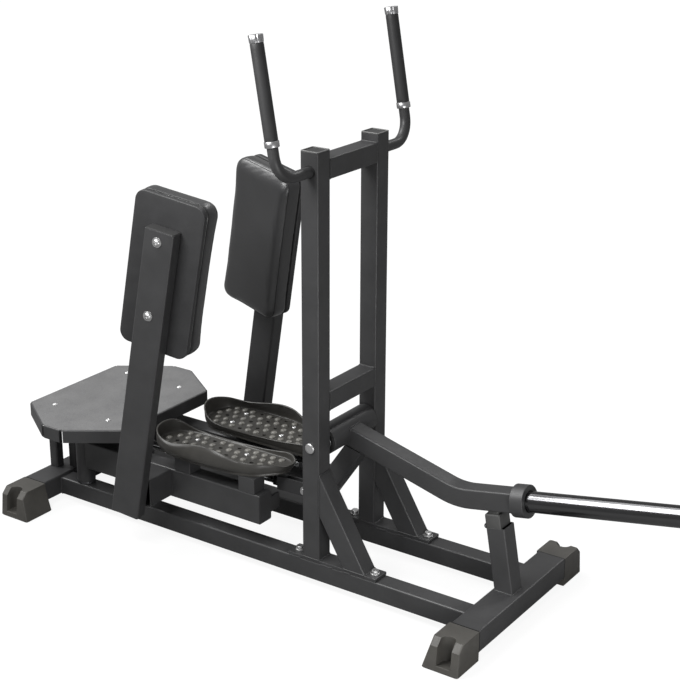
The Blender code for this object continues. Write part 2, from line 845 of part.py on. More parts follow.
underside = PIVOT - ARM_UP * (ARM_SIZE / 2 + GAP)
reach = (underside - CRANK_TOP).dot(ARM_UP) / CRANK_DIRECTION.dot(ARM_UP)
crank_start = CRANK_TOP + CRANK_DIRECTION * reach
crank = box_tube(
    [crank_start, CRANK_TOP + CRANK_DIRECTION * CRANK_LENGTH],
    Y,
    ARM_SIZE,
    ARM_SIZE,
    start=-ARM_UP,
)
piece = add("crank_arm", crank, FRAME, arm_axis)
cut(piece, sleeve_space)
cut(piece, disc(CRANK_PIN - Y * 40.0, Y, CRANK_PIN_RADIUS + GAP, 80.0, 20))
PIN_STEP = ROD_Y - YOKE_HALF - 3.0
pin_half = [
    (JOURNAL_END_Y + 8.5, 0),
    (JOURNAL_END_Y + 8.5, 7.5),
    (JOURNAL_END_Y + 7.5, 8.5),
    (JOURNAL_END_Y + 2.0, 8.5),
    (JOURNAL_END_Y + 2.0, 12.0),
    (JOURNAL_END_Y, 12.0),
    (JOURNAL_END_Y, JOURNAL_RADIUS),
    (PIN_STEP, JOURNAL_RADIUS),
    (PIN_STEP, CRANK_PIN_RADIUS),
]
pin_profile = [(-along, radius) for along, radius in pin_half] + list(reversed(pin_half))
add("crank_pin", turned(CRANK_PIN, Y, pin_profile, 16), STEEL, arm_axis, SMOOTH)

add(
    "stop_collar",
    ring(COLLAR_REAR, LOAD_RUN, STOP_COLLAR_RADIUS, LOAD_RADIUS + GAP, STOP_COLLAR_THICK, 28, 2.0),
    FRAME,
    arm_axis,
    SMOOTH,
)
load_profile = [
    (0.0, LOAD_RADIUS - TUBE_WALL),
    (0.0, LOAD_RADIUS),
    (LOAD_LENGTH - 1.5, LOAD_RADIUS),
    (LOAD_LENGTH, LOAD_RADIUS - 1.5),
    (LOAD_LENGTH, 0),
]
load_profile = [(LOAD_LENGTH - LOAD_CAP, 0), (LOAD_LENGTH - LOAD_CAP, LOAD_RADIUS - TUBE_WALL)] + load_profile
add("weight_sleeve", turned(COLLAR_REAR, LOAD_RUN, load_profile, 28), CHROME, arm_axis, SMOOTH)


# Post and buffer under the weight arm

REST_RUN = (REST_REAR_HIGH - REST_REAR_LOW).normalized()
REST_ACROSS = Vector((REST_RUN.z, 0.0, -REST_RUN.x))
rest_low = REST_REAR_LOW + REST_ACROSS * (REST_SIZE / 2)
rest_low = rest_low + REST_RUN * ((BEAM_TOP_Z + GAP - rest_low.z) / REST_RUN.z)
rest_high = REST_REAR_HIGH + REST_ACROSS * (REST_SIZE / 2)
add("rest_post", box_tube([rest_low, rest_high], Y, REST_SIZE, REST_SIZE, start=Z), FRAME)


arm_underside = COLLAR_REAR - LOAD_UP * (ARM_SIZE / 2)
rest_middle = rest_high - REST_ACROSS * REST_BLOCK_SHIFT
rest_loops = []
for along, inset in (
    (GAP, 0.0),
    (REST_BLOCK_HEIGHT - 4.0, 0.0),
    (REST_BLOCK_HEIGHT - 1.2, 1.2),
    (REST_BLOCK_HEIGHT, 4.0),
    (REST_BLOCK_HEIGHT, 6.0),
):
    outline = rounded(REST_BLOCK_WIDTH - 2 * inset, REST_BLOCK_LENGTH - 2 * inset, 5.0)
    loop = [rest_middle + REST_RUN * along + Y * a + REST_ACROSS * b for a, b in outline]
    rest_loops.append(loop)
top_loop = []
for point in rest_loops[-1]:
    rise = (arm_underside - point).dot(LOAD_UP) / REST_RUN.dot(LOAD_UP)
    top_loop.append(point + REST_RUN * (rise - REST_GAP))
rest_loops.append(top_loop)
add("rest_buffer", stack(rest_loops), BUFFER)


# Rear spindles the levers turn on

SPINDLE_END = HUB_TOP_Z + 1.0 - RAIL_TOP_Z
spindle = turned(
    Vector((HINGE.x, HINGE.y, RAIL_TOP_Z)),
    Z,
    [
        (GAP, 0),
        (GAP, SPINDLE_FLANGE_RADIUS),
        (6.5, SPINDLE_FLANGE_RADIUS),
        (6.5, SPINDLE_RADIUS),
        (SPINDLE_END, SPINDLE_RADIUS),
        (SPINDLE_END, 21.0),
        (SPINDLE_END + 3.0, 21.0),
        (SPINDLE_END + 3.0, 0),
    ],
    24,
)
spindle_nut = turned(
    Vector((HINGE.x, HINGE.y, RAIL_TOP_Z + SPINDLE_END)),
    Z,
    [(1.0, 0), (1.0, 12.5), (10.0, 12.5), (11.5, 11.0), (11.5, 0)],
    6,
)
for side, turn in SIDES:
    piece = add("hinge_spindle_" + side, turn(spindle), STEEL, smooth=SMOOTH)
    weld(piece, turn(spindle_nut))


# Step-on platform

def outline_prism(outline, low, high):
    """Upright prism over a plan outline."""
    return stack([[Vector((x, y, level)) for x, y in outline] for level in (low, high)])


def inset_outline(outline, amount):
    """Plan outline moved inward by an equal amount all round."""
    count = len(outline)
    area = 0.0
    for index in range(count):
        x0, y0 = outline[index]
        x1, y1 = outline[(index + 1) % count]
        area += x0 * y1 - x1 * y0
    turn = 1.0 if area > 0 else -1.0
    lines = []
    for index in range(count):
        here = Vector((*outline[index], 0.0))
        there = Vector((*outline[(index + 1) % count], 0.0))
        run = (there - here).normalized()
        inward = Vector((-run.y, run.x, 0.0)) * turn
        lines.append((here + inward * amount, run))
    result = []
    for index in range(count):
        place, run = lines[index - 1]
        other, other_run = lines[index]
        across = run.x * other_run.y - run.y * other_run.x
        if abs(across) < 1e-6:
            result.append((other.x, other.y))
            continue
        offset = other - place
        reach = (offset.x * other_run.y - offset.y * other_run.x) / across
        point = place + run * reach
        result.append((point.x, point.y))
    return result


platform = add(
    "platform_plate", outline_prism(PLATFORM_OUTLINE, PLATFORM_SKIRT_Z, PLATFORM_TOP_Z), TREAD
)
hollow = outline_prism(
    inset_outline(PLATFORM_OUTLINE, PLATFORM_PLATE),
    PLATFORM_SKIRT_Z - 5.0,
    PLATFORM_TOP_Z - PLATFORM_PLATE,
)
cut(platform, hollow)
corner_gaps = [
    disc(Vector((x, y, PLATFORM_SKIRT_Z - 5.0)), Z, 6.0, 37.0, 12) for x, y in PLATFORM_OUTLINE
]
cut(platform, *corner_gaps)
screw_places = [Vector((x, right(SCREW_Y), PLATFORM_TOP_Z)) for x in STAND_CROSS_X]
screw_holes = [disc(place - Z * 12.0, Z, 3.4, 20.0, 12) for place in screw_places]
cut(platform, *screw_holes, *[mirrored(hole) for hole in screw_holes])


def stand_bar(start, finish, side, size):
    """Square tube of the platform's stand."""
    outline = rounded(size, size, 3.0, 1)
    bore = rounded(size - 4.0, size - 4.0, 1.0, 1)
    return tube([start, finish], side, outline, bore)


STAND_MIDDLE_Y = (STAND_INNER_Y + STAND_OUTER_Y) / 2
STAND_MIDDLE_Z = STAND_TOP_Z - STAND_TUBE / 2
STAND_REAR_X = -944.8
STAND_FRONT_X = STAND_CROSS_X[1] + STAND_TUBE / 2 + 4.0
spine = stand_bar(
    Vector((STAND_REAR_X, right(STAND_MIDDLE_Y), STAND_MIDDLE_Z)),
    Vector((STAND_FRONT_X, right(STAND_MIDDLE_Y), STAND_MIDDLE_Z)),
    Y,
    STAND_TUBE,
)
stand_parts = []
for place, top in (
    (LEG_REAR, STAND_TOP_Z - STAND_TUBE + 1.0),
    (LEG_FRONT, STAND_MIDDLE_Z - STAND_FLAT_THICK / 2 + 1.0),
):
    stand_parts.append(
        stand_bar(
            Vector((place[0], right(place[1]), BEAM_TOP_Z + GAP)),
            Vector((place[0], right(place[1]), top)),
            Y,
            LEG_TUBE,
        )
    )
for x in STAND_CROSS_X:
    stand_parts.append(
        stand_bar(
            Vector((x, right(STAND_OUTER_Y - 1.0), STAND_TOP_Z - LEG_TUBE / 2 - 0.5)),
            Vector((x, right(STAND_ARM_Y), STAND_TOP_Z - LEG_TUBE / 2 - 0.5)),
            X,
            LEG_TUBE,
        )
    )
stand = add("platform_stand", spine, FRAME)
weld(stand, mirrored(spine))
weld(stand, *stand_parts, *[mirrored(part) for part in stand_parts])
for x in STAND_CROSS_X:
    weld(
        stand,
        block(
            (x - STAND_FLAT / 2, -STAND_INNER_Y - 1.0, STAND_MIDDLE_Z - STAND_FLAT_THICK / 2),
            (x + STAND_FLAT / 2, STAND_INNER_Y + 1.0, STAND_MIDDLE_Z + STAND_FLAT_THICK / 2),
        ),
    )
stand_holes = [disc(place - Z * 12.5, Z, 3.4, 12.0, 12) for place in screw_places]
cut(stand, *stand_holes, *[mirrored(hole) for hole in stand_holes])


# Levers: every piece that swings with one lever

POST_U = Vector(
    (
        math.cos(POST_YAW) * math.cos(POST_LEAN),
        math.sin(POST_YAW) * math.cos(POST_LEAN),
        -math.sin(POST_LEAN),
    )
)
POST_W = Vector((-math.sin(POST_YAW), math.cos(POST_YAW), 0.0))
POST_T = Vector(
    (
        math.cos(POST_YAW) * math.sin(POST_LEAN),
        math.sin(POST_YAW) * math.sin(POST_LEAN),
        math.cos(POST_LEAN),
    )
)


def post_point(across, inward, along):
    """Point in the pad post's own directions, from its lower rear outer corner."""
    return POST_CORNER + POST_U * across + POST_W * inward + POST_T * along


LEVER_MIDDLE_Z = (LEVER_BOTTOM_Z + LEVER_TOP_Z) / 2
LEVER_HEIGHT = LEVER_TOP_Z - LEVER_BOTTOM_Z
LEVER_Y = LEVER_INNER_Y + LEVER_WIDTH / 2
LEVER_OUTER_Y = LEVER_INNER_Y + LEVER_WIDTH
lever_tube = box_tube(
    [
        Vector((HINGE.x + 8.0, right(LEVER_Y), LEVER_MIDDLE_Z)),
        Vector((LEVER_FRONT_X, right(LEVER_Y), LEVER_MIDDLE_Z)),
    ],
    Y,
    LEVER_WIDTH,
    LEVER_HEIGHT,
)
hub_space = disc(
    Vector((HINGE.x, HINGE.y, LEVER_BOTTOM_Z - 20.0)), Z, HUB_RADIUS + GAP, LEVER_HEIGHT + 40.0, 24
)
hub = ring(
    Vector((HINGE.x, HINGE.y, HUB_BOTTOM_Z)), Z, HUB_RADIUS, HUB_BORE, HUB_TOP_Z - HUB_BOTTOM_Z, 24
)

LUG_RUN = Vector((-math.sin(LUG_ANGLE), math.cos(LUG_ANGLE), 0.0))
LUG_SIDE = Z.cross(LUG_RUN)
link_pin = HINGE + LUG_RUN * LUG_RADIUS
lug_outline = [HINGE + LUG_RUN * 18.0 - LUG_SIDE * LUG_HALF]
for step in range(9):
    angle = math.radians(-90.0 + 180.0 * step / 8)
    lug_outline.append(
        link_pin + LUG_SIDE * (LUG_HALF * math.sin(angle)) + LUG_RUN * (LUG_HALF * math.cos(angle))
    )
lug_outline.append(HINGE + LUG_RUN * 18.0 + LUG_SIDE * LUG_HALF)
lug = stack([[point + Z * level for point in lug_outline] for level in (LUG_BOTTOM_Z, LUG_TOP_Z)])
link_bolt = turned(
    link_pin + Z * (LUG_BOTTOM_Z - 8.0),
    Z,
    [
        (0.0, 0),
        (0.0, 8.0),
        (9.0, 8.0),
        (9.0, LINK_BOLT_RADIUS),
        (ROD_REAR_Z + EYE_HALF + 3.0 - LUG_BOTTOM_Z + 8.0, LINK_BOLT_RADIUS),
        (ROD_REAR_Z + EYE_HALF + 3.0 - LUG_BOTTOM_Z + 8.0, 13.5),
        (ROD_REAR_Z + EYE_HALF + 6.0 - LUG_BOTTOM_Z + 8.0, 13.5),
        (ROD_REAR_Z + EYE_HALF + 6.0 - LUG_BOTTOM_Z + 8.0, 7.5),
        (ROD_REAR_Z + EYE_HALF + 12.0 - LUG_BOTTOM_Z + 8.0, 7.5),
        (ROD_REAR_Z + EYE_HALF + 12.0 - LUG_BOTTOM_Z + 8.0, 0),
    ],
    16,
)

CROSS_X = (CROSS_REAR_X + CROSS_FRONT_X) / 2
CROSS_Z = (CROSS_BOTTOM_Z + CROSS_TOP_Z) / 2
cross_start = Vector((CROSS_X, right(LEVER_OUTER_Y - 1.0), CROSS_Z))
post_face = post_point(0.0, POST_WIDTH + GAP, 0.0)
cross_reach = (post_face - cross_start).dot(POST_W) / Y.dot(POST_W)
cross_end = cross_start + Y * cross_reach
cross_piece = box_tube(
    [cross_start, cross_end],
    X,
    CROSS_FRONT_X - CROSS_REAR_X,
    CROSS_TOP_Z - CROSS_BOTTOM_Z,
    end=-POST_W,
)
brackets = [cross_piece]
for rear_x, front_x in PEDAL_RISER_X:
    brackets.append(
        block(
            (rear_x, right(LEVER_OUTER_Y - 0.6), LEVER_TOP_Z - 1.7),
            (front_x, right(LEVER_INNER_Y + 5.6), PEDAL_BASE_Z - GAP),
        )
    )
brackets.append(
    block(
        (PEDAL_RISER_X[1][0] + 1.0, right(LEVER_OUTER_Y - 6.0), PEDAL_BASE_Z - 5.0),
        (PEDAL_RISER_X[1][1] - 1.0, right(LEVER_INNER_Y + 8.0), PEDAL_PLATE_LOW[2] + 1.0),
    )
)
for low, high in ((PEDAL_PLATE_LOW, PEDAL_PLATE_HIGH), (PEDAL_TAB_LOW, PEDAL_TAB_HIGH)):
    brackets.append(block((low[0], right(high[1]), low[2]), (high[0], right(low[1]), high[2])))
brackets.append(
    block(
        (LEVER_FRONT_X - 10.0, right(LEVER_INNER_Y + 1.0), 140.0),
        (LEVER_FRONT_X - 2.0, right(60.0), 182.0),
        1.5,
    )
)

post_low = post_point(POST_DEPTH / 2, POST_WIDTH / 2, 0.0)
post_high = post_point(POST_DEPTH / 2, POST_WIDTH / 2, POST_LENGTH)
pad_post = box_tube([post_low, post_high], POST_W, POST_WIDTH, POST_DEPTH)


def end_plate(centre, axis, side, width, height):
    """Plate let into a tube's open end and standing just proud of it."""
    path = [centre - axis * 2.5, centre + axis * 1.5]
    return bar(path, side, rounded(width - 3.3, height - 3.1, 3.0, 3))


post_plate = end_plate(post_high, POST_T, POST_W, POST_WIDTH, POST_DEPTH)
lever_plate = end_plate(
    Vector((LEVER_FRONT_X, right(LEVER_Y), LEVER_MIDDLE_Z)), X, Y, LEVER_WIDTH, LEVER_HEIGHT
)

bolt_alongs = (PAD_CENTRE_ALONG - PAD_BOLT_OFFSET, PAD_CENTRE_ALONG + PAD_BOLT_OFFSET)
pad_studs = []
pad_holes = []
for along in bolt_alongs:
    place = post_point(PAD_BOLT_ACROSS, -GAP, along)
    pad_studs.append(
        turned(
            place,
            POST_W,
            [
                (-6.5, 0),
                (-6.3, 4.0),
                (-5.0, 7.5),
                (-2.5, 8.5),
                (-2.0, 10.5),
                (0.0, 10.5),
                (0.0, PAD_BOLT_RADIUS),
                (POST_WIDTH + BOARD_THICK - 3.5, PAD_BOLT_RADIUS),
                (POST_WIDTH + BOARD_THICK - 3.5, 0),
            ],
            16,
        )
    )
    pad_holes.append(disc(place - POST_W * 10.0, POST_W, PAD_BOLT_RADIUS + 0.5, POST_WIDTH + 35.0, 16))


def fixing_loop(inward, grow):
    """Outline of the plate behind the board that carries the two studs."""
    outline = rounded(40.0 + 2 * grow, 2 * PAD_BOLT_OFFSET + 40.0 + 2 * grow, 6.0 + grow)
    return [post_point(PAD_BOLT_ACROSS + a, inward, PAD_CENTRE_ALONG + b) for a, b in outline]


PLATE_OUT = POST_WIDTH + BOARD_THICK - 0.5
fixing_plate = stack([fixing_loop(PLATE_OUT - 4.0, 0.0), fixing_loop(PLATE_OUT, 0.0)])
fixing_pocket = stack([fixing_loop(PLATE_OUT - 4.4, 0.4), fixing_loop(PLATE_OUT + 5.0, 0.4)])


def pad_loop(depth, inset):
    """Rounded outline of the pad at a depth from the post's inner face."""
    radius = max(PAD_CORNER - inset, PAD_CORNER_LEAST)
    outline = rounded(PAD_WIDTH - 2 * inset, PAD_HEIGHT - 2 * inset, radius, 4)
    inward = POST_WIDTH + depth
    return [
        post_point(PAD_CENTRE_ACROSS + a, inward, PAD_CENTRE_ALONG + b) for a, b in outline
    ]


board_levels = (
    (GAP, BOARD_INSET + 2.0),
    (2.0, BOARD_INSET),
    (BOARD_THICK, BOARD_INSET),
)
board = stack([pad_loop(depth, inset) for depth, inset in board_levels])
cushion_levels = (
    (BOARD_THICK + GAP, BOARD_INSET + 1.5),
    (BOARD_THICK + 3.0, BOARD_INSET - 1.5),
    (BOARD_THICK + 14.0, 2.0),
    (BOARD_THICK + 27.0, 0.0),
    (BOARD_THICK + 38.0, 2.0),
    (BOARD_THICK + 46.0, 7.5),
    (BOARD_THICK + 51.0, 15.0),
    (BOARD_THICK + 53.5, 27.0),
    (BOARD_THICK + 55.0, 48.0),
    (BOARD_THICK + CUSHION_THICK, 80.0),
)
cushion = stack([pad_loop(depth, inset) for depth, inset in cushion_levels])


def pedal_loop(share, bulge, height, inset=0.0):
    """Pedal outline between its base and its rim, at one height or at the rim's own."""
    plan = []
    for x, y, _, base_x, base_y, swell in PEDAL_RIM:
        across = base_y + (y - base_y) * share + swell * bulge
        plan.append((base_x + (x - base_x) * share, right(across)))
    if inset:
        plan = inset_outline(plan, inset)
    loop = []
    for (x, y), row in zip(plan, PEDAL_RIM):
        level = height
        if height < 1.5:
            level = PEDAL_BULGE_Z + (row[2] - PEDAL_BULGE_Z) * height
        loop.append(Vector((x, y, level)))
    return loop


pedal = stack(
    [
        pedal_loop(0.6, 0.8, PEDAL_FLOOR_Z - PEDAL_WALL, PEDAL_WALL + 2.0),
        pedal_loop(0.0, 0.0, PEDAL_BASE_Z, PEDAL_WALL),
        pedal_loop(0.0, 0.0, PEDAL_BASE_Z, 0.5),
        pedal_loop(0.0, 0.0, PEDAL_BASE_Z + 5.5),
        pedal_loop(0.45, 0.55, PEDAL_BASE_Z + 12.0),
        pedal_loop(0.8, 1.0, PEDAL_BULGE_Z - 2.0),
        pedal_loop(0.9, 0.85, 0.5),
        pedal_loop(1.0, 0.0, 1.0),
        pedal_loop(1.0, 0.0, 1.0, PEDAL_WALL),
        pedal_loop(0.9, 0.85, 0.5, PEDAL_WALL),
        pedal_loop(0.8, 1.0, PEDAL_FLOOR_Z + 1.5, PEDAL_WALL + 1.0),
        pedal_loop(0.8, 1.0, PEDAL_FLOOR_Z, PEDAL_WALL + 4.0),
    ]
)

for side, turn in SIDES:
    hinge_place = HINGE if side == "right" else Vector((HINGE.x, -HINGE.y, HINGE.z))
    axis = axis_empty("lever_" + side + "_axis", hinge_place)
    piece = add("lever_tube_" + side, turn(lever_tube), FRAME, axis)
    cut(piece, turn(hub_space))
    weld(piece, turn(lever_plate), *[turn(bracket) for bracket in brackets])
    piece = add("hinge_hub_" + side, turn(hub), FRAME, axis, SMOOTH)
    weld(piece, turn(lug), turn(link_bolt))
    piece = add("pad_post_" + side, turn(pad_post), FRAME, axis)
    weld(piece, turn(post_plate))
    cut(piece, *[turn(hole) for hole in pad_holes])
    piece = add("pad_board_" + side, turn(board), BOARD, axis)
    cut(piece, *[turn(hole) for hole in pad_holes])
    cut(piece, turn(fixing_pocket))
    piece = add("pad_fixing_" + side, turn(fixing_plate), STEEL, axis, SMOOTH)
    weld(piece, *[turn(stud) for stud in pad_studs])
    add("pad_cushion_" + side, turn(cushion), VINYL, axis, SMOOTH)
    add("pedal_" + side, turn(pedal), TRAY, axis, SMOOTH)


# Push rods: a yoke on the crank's cross pin, a rod and an eye on the lug's bolt

rod_front = CRANK_PIN + Y * right(ROD_Y)
rod_rear = Vector((link_pin.x, right(ROD_Y), ROD_REAR_Z))
ROD_RUN = (rod_front - rod_rear).normalized()
ROD_UP = Y.cross(-ROD_RUN).normalized()
rod = turned(
    rod_rear + ROD_RUN * (EYE_RADIUS - 3.0),
    ROD_RUN,
    [
        (0.0, 0),
        (0.0, ROD_RADIUS),
        ((rod_front - rod_rear).length - YOKE_BACK - EYE_RADIUS + 8.0, ROD_RADIUS),
        ((rod_front - rod_rear).length - YOKE_BACK - EYE_RADIUS + 8.0, 0),
    ],
    20,
)
yoke_outline = [(-YOKE_BACK, -YOKE_HEIGHT / 2)]
for step in range(9):
    angle = math.radians(-90.0 + 180.0 * step / 8)
    yoke_outline.append((YOKE_HEIGHT / 2 * math.cos(angle), YOKE_HEIGHT / 2 * math.sin(angle)))
yoke_outline.append((-YOKE_BACK, YOKE_HEIGHT / 2))
yoke = stack(
    [
        [rod_front + ROD_RUN * a + ROD_UP * b + Y * side for a, b in yoke_outline]
        for side in (-YOKE_HALF, YOKE_HALF)
    ]
)
slot_low = YOKE_HALF - YOKE_CHEEK
slot_rear = YOKE_WEB - YOKE_BACK
slot_outline = ((slot_rear, -30.0), (30.0, -30.0), (30.0, 30.0), (slot_rear, 30.0))
yoke_slot = stack(
    [
        [
            rod_front + ROD_RUN * a + ROD_UP * b + Y * side
            for a, b in slot_outline
        ]
        for side in (-slot_low, slot_low)
    ]
)
yoke_bore = disc(rod_front - Y * 30.0, Y, JOURNAL_BORE, 60.0, 16)
eye = disc(rod_rear - Z * EYE_HALF, Z, EYE_RADIUS, 2 * EYE_HALF, 20)
eye_bore = disc(rod_rear - Z * 20.0, Z, EYE_BORE, 40.0, 16)
for side, turn in SIDES:
    front = rod_front if side == "right" else Vector((rod_front.x, -rod_front.y, rod_front.z))
    axis = axis_empty("push_rod_" + side + "_axis", front, arm_axis)
    piece = add("push_rod_" + side, turn(rod), STEEL, axis, SMOOTH)
    weld(piece, turn(yoke))
    weld(piece, turn(eye))
    cut(piece, turn(yoke_slot))
    cut(piece, turn(yoke_bore), turn(eye_bore))
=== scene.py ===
"""Standing hip abductor machine: finished pieces, materials, light and camera.

Places are in millimetres, measured as in the part's own source: x forward from
the front face of the uprights, y to the left, z up from the floor.
"""
import math

import bmesh
import bpy
from mathutils import Matrix, Vector, noise

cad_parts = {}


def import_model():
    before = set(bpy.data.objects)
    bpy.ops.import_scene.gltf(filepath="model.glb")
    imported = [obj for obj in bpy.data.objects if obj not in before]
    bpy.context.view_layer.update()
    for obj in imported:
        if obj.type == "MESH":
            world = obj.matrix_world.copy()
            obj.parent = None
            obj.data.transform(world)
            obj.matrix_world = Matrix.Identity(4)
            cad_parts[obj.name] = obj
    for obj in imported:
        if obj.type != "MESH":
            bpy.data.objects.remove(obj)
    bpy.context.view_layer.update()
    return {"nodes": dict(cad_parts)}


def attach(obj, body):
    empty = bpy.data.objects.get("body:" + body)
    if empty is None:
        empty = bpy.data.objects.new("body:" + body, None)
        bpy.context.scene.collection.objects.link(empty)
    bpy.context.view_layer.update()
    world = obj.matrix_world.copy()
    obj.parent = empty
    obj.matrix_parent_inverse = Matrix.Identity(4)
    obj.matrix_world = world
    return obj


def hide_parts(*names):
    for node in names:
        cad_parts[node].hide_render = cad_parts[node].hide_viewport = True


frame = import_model()

MM = 0.001
X_SHIFT = 23.94
GAP = 0.3


def at(x, y, z):
    return Vector((x, y, z))


X = at(1.0, 0.0, 0.0)
Y = at(0.0, 1.0, 0.0)
Z = at(0.0, 0.0, 1.0)
SIDES = (("right", lambda shape: shape), ("left", lambda shape: mirrored(shape)))
SIGN = {"right": -1.0, "left": 1.0}


# Materials

class Surface:
    """A material in the making: its nodes, and the calls that join them."""

    def __init__(self, name, colour, roughness, metallic=0.0, specular=0.5):
        self.item = bpy.data.materials.new(name)
        self.item.use_nodes = True
        self.tree = self.item.node_tree
        self.inputs = self.tree.nodes["Principled BSDF"].inputs
        self.inputs["Base Color"].default_value = (*colour, 1.0)
        self.inputs["Roughness"].default_value = roughness
        self.inputs["Metallic"].default_value = metallic
        self.inputs["Specular IOR Level"].default_value = specular
        self.place = self.node("TexCoord").outputs["Object"]

    def node(self, kind, **values):
        node = self.tree.nodes.new("ShaderNode" + kind)
        for name, value in values.items():
            node.inputs[name.replace("_", " ")].default_value = value
        return node

    def noise(self, scale, detail, roughness=0.55):
        node = self.node("TexNoise", Scale=scale, Detail=detail, Roughness=roughness)
        self.tree.links.new(self.place, node.inputs["Vector"])
        return node.outputs["Fac"]

    def cells(self, scale):
        node = self.node("TexVoronoi", Scale=scale)
        self.tree.links.new(self.place, node.inputs["Vector"])
        return node.outputs["Distance"]

    def total(self, first, second, share):
        """The first value with a share of the second added."""
        node = self.node("Math")
        node.operation = "MULTIPLY_ADD"
        node.inputs[1].default_value = share
        self.tree.links.new(second, node.inputs[0])
        self.tree.links.new(first, node.inputs[2])
        return node.outputs["Value"]

    def tint(self, factor, low, high, stops=(0.3, 0.7)):
        node = self.node("ValToRGB")
        for element, stop, colour in zip(node.color_ramp.elements, stops, (low, high)):
            element.position = stop
            element.color = (*colour, 1.0)
        self.tree.links.new(factor, node.inputs["Fac"])
        self.tree.links.new(node.outputs["Color"], self.inputs["Base Color"])

    def gloss(self, factor, low, high):
        node = self.node("MapRange", To_Min=low, To_Max=high)
        self.tree.links.new(factor, node.inputs["Value"])
        self.tree.links.new(node.outputs["Result"], self.inputs["Roughness"])

    def bump(self, height, strength, distance):
        node = self.node("Bump", Strength=strength, Distance=distance)
        self.tree.links.new(height, node.inputs["Height"])
        self.tree.links.new(node.outputs["Normal"], self.inputs["Normal"])


def scaled(colour, share):
    return tuple(channel * share for channel in colour)


def powder_coat(name, colour):
    """Satin powder coat: a slight orange peel, patchy gloss and fine speckle."""
    look = Surface(name, colour, 0.42)
    look.tint(look.noise(14.0, 5.0), scaled(colour, 0.88), scaled(colour, 1.12))
    look.gloss(look.noise(60.0, 3.0), 0.36, 0.5)
    look.bump(look.total(look.noise(420.0, 2.0), look.noise(1500.0, 2.0), 0.35), 0.12, 0.0004)
    return look.item


def moulded(name, colour, roughness, grain=900.0, strength=0.25):
    """Moulded plastic or rubber with a fine spark-eroded grain."""
    look = Surface(name, colour, roughness, 0.0, 0.45)
    look.tint(look.noise(22.0, 4.0), scaled(colour, 0.86), scaled(colour, 1.14), (0.3, 0.72))
    look.gloss(look.noise(9.0, 6.0), roughness - 0.06, roughness + 0.08)
    look.bump(look.noise(grain, 3.0), strength, 0.0003)
    return look.item


def plated(name, colour, roughness):
    """Bright plated metal with faint handling marks."""
    look = Surface(name, colour, roughness, 1.0)
    marks = look.noise(120.0, 5.0)
    look.gloss(marks, roughness - 0.03, roughness + 0.06)
    look.tint(look.noise(25.0, 3.0), scaled(colour, 0.92), scaled(colour, 1.04))
    look.bump(marks, 0.03, 0.0001)
    return look.item


def satin(name, colour, roughness):
    """Smooth bright metal, a little cloudy."""
    look = Surface(name, colour, roughness, 1.0)
    look.tint(look.noise(18.0, 3.0), scaled(colour, 0.97), scaled(colour, 1.03))
    return look.item


def coated_cloth(name, colour):
    """Coated upholstery cloth: small pebble grain and a soft sheen."""
    look = Surface(name, colour, 0.4, 0.0, 0.75)
    look.inputs["Sheen Weight"].default_value = 0.08
    look.inputs["Sheen Roughness"].default_value = 0.5
    patch = look.noise(12.0, 5.0)
    look.tint(patch, scaled(colour, 0.9), scaled(colour, 1.1))
    look.gloss(patch, 0.31, 0.38)
    look.bump(look.total(look.cells(900.0), look.noise(260.0, 5.0), 0.8), 0.3, 0.0003)
    return look.item


def grit(name, low, high):
    """Anti-slip coating of bonded grit."""
    look = Surface(name, high, 0.85, 0.0, 0.3)
    sand = look.noise(750.0, 3.0, 0.7)
    look.tint(look.total(sand, look.noise(16.0, 6.0), 0.35), low, high, (0.52, 0.78))
    look.bump(look.total(sand, look.cells(620.0), 0.8), 0.6, 0.0007)
    return look.item


PAINT = powder_coat("frame_powder_coat", (0.040, 0.040, 0.041))
PAINT_TOP = powder_coat("plug_paint", (0.034, 0.034, 0.034))
CHROME = plated("bright_chrome", (0.78, 0.79, 0.80), 0.12)
TRIM_CHROME = satin("trim_chrome", (0.56, 0.56, 0.57), 0.36)
SLEEVE_CHROME = satin("sleeve_chrome", (0.12, 0.12, 0.123), 0.17)
ZINC = satin("zinc_fastener", (0.66, 0.66, 0.66), 0.40)
DARK_STEEL = plated("dark_steel", (0.10, 0.10, 0.105), 0.36)
VINYL = coated_cloth("pad_cloth", (0.028, 0.028, 0.029))
BOARD = moulded("board_shell", (0.031, 0.031, 0.032), 0.5, 700.0, 0.3)
GRIP = moulded("grip_foam", (0.030, 0.030, 0.031), 0.5, 1100.0, 0.35)
FOOT = moulded("foot_cap_plastic", (0.066, 0.063, 0.057), 0.5, 800.0, 0.35)
TRAY = moulded("tray_plastic", (0.048, 0.046, 0.042), 0.34, 900.0, 0.2)
NUB = moulded("nub_plastic", (0.17, 0.165, 0.15), 0.34, 900.0, 0.12)
RUBBER = moulded("stop_rubber", (0.055, 0.055, 0.054), 0.55, 600.0, 0.3)
# The lid rim's light grey is painted highlight: it stands in for the bright line that light draws along the
# lid's edges.
RIM_PAINTED_HIGHLIGHT = moulded("lid_rim_plastic_painted_highlight", (0.17, 0.17, 0.168), 0.45, 800.0, 0.15)
# Near-black: the bushes' own colour, and painted shade on the rings at the cap and bar joints.
PLUG_AND_SHADE = moulded("plug_moulding_and_painted_shade", (0.012, 0.012, 0.012), 0.5, 800.0, 0.2)
TREAD = grit("platform_grit", (0.115, 0.115, 0.117), (0.18, 0.18, 0.18))
THREAD = moulded("seam_thread", (0.01, 0.01, 0.01), 0.7, 600.0, 0.4)


# Shapes: each one is a list of points and a list of faces

def rounded(width, height, radius, steps=6):
    points = []
    across_half = width / 2 - radius
    up_half = height / 2 - radius
    for quarter, (a, b) in enumerate(((1, 1), (-1, 1), (-1, -1), (1, -1))):
        across = a * across_half
        up = b * up_half
        for step in range(steps + 1):
            angle = math.radians(90.0 * quarter + 90.0 * step / steps)
            points.append((across + radius * math.cos(angle), up + radius * math.sin(angle)))
    return points


def circle(radius, count):
    angles = [2 * math.pi * step / count for step in range(count)]
    return [(radius * math.cos(angle), radius * math.sin(angle)) for angle in angles]


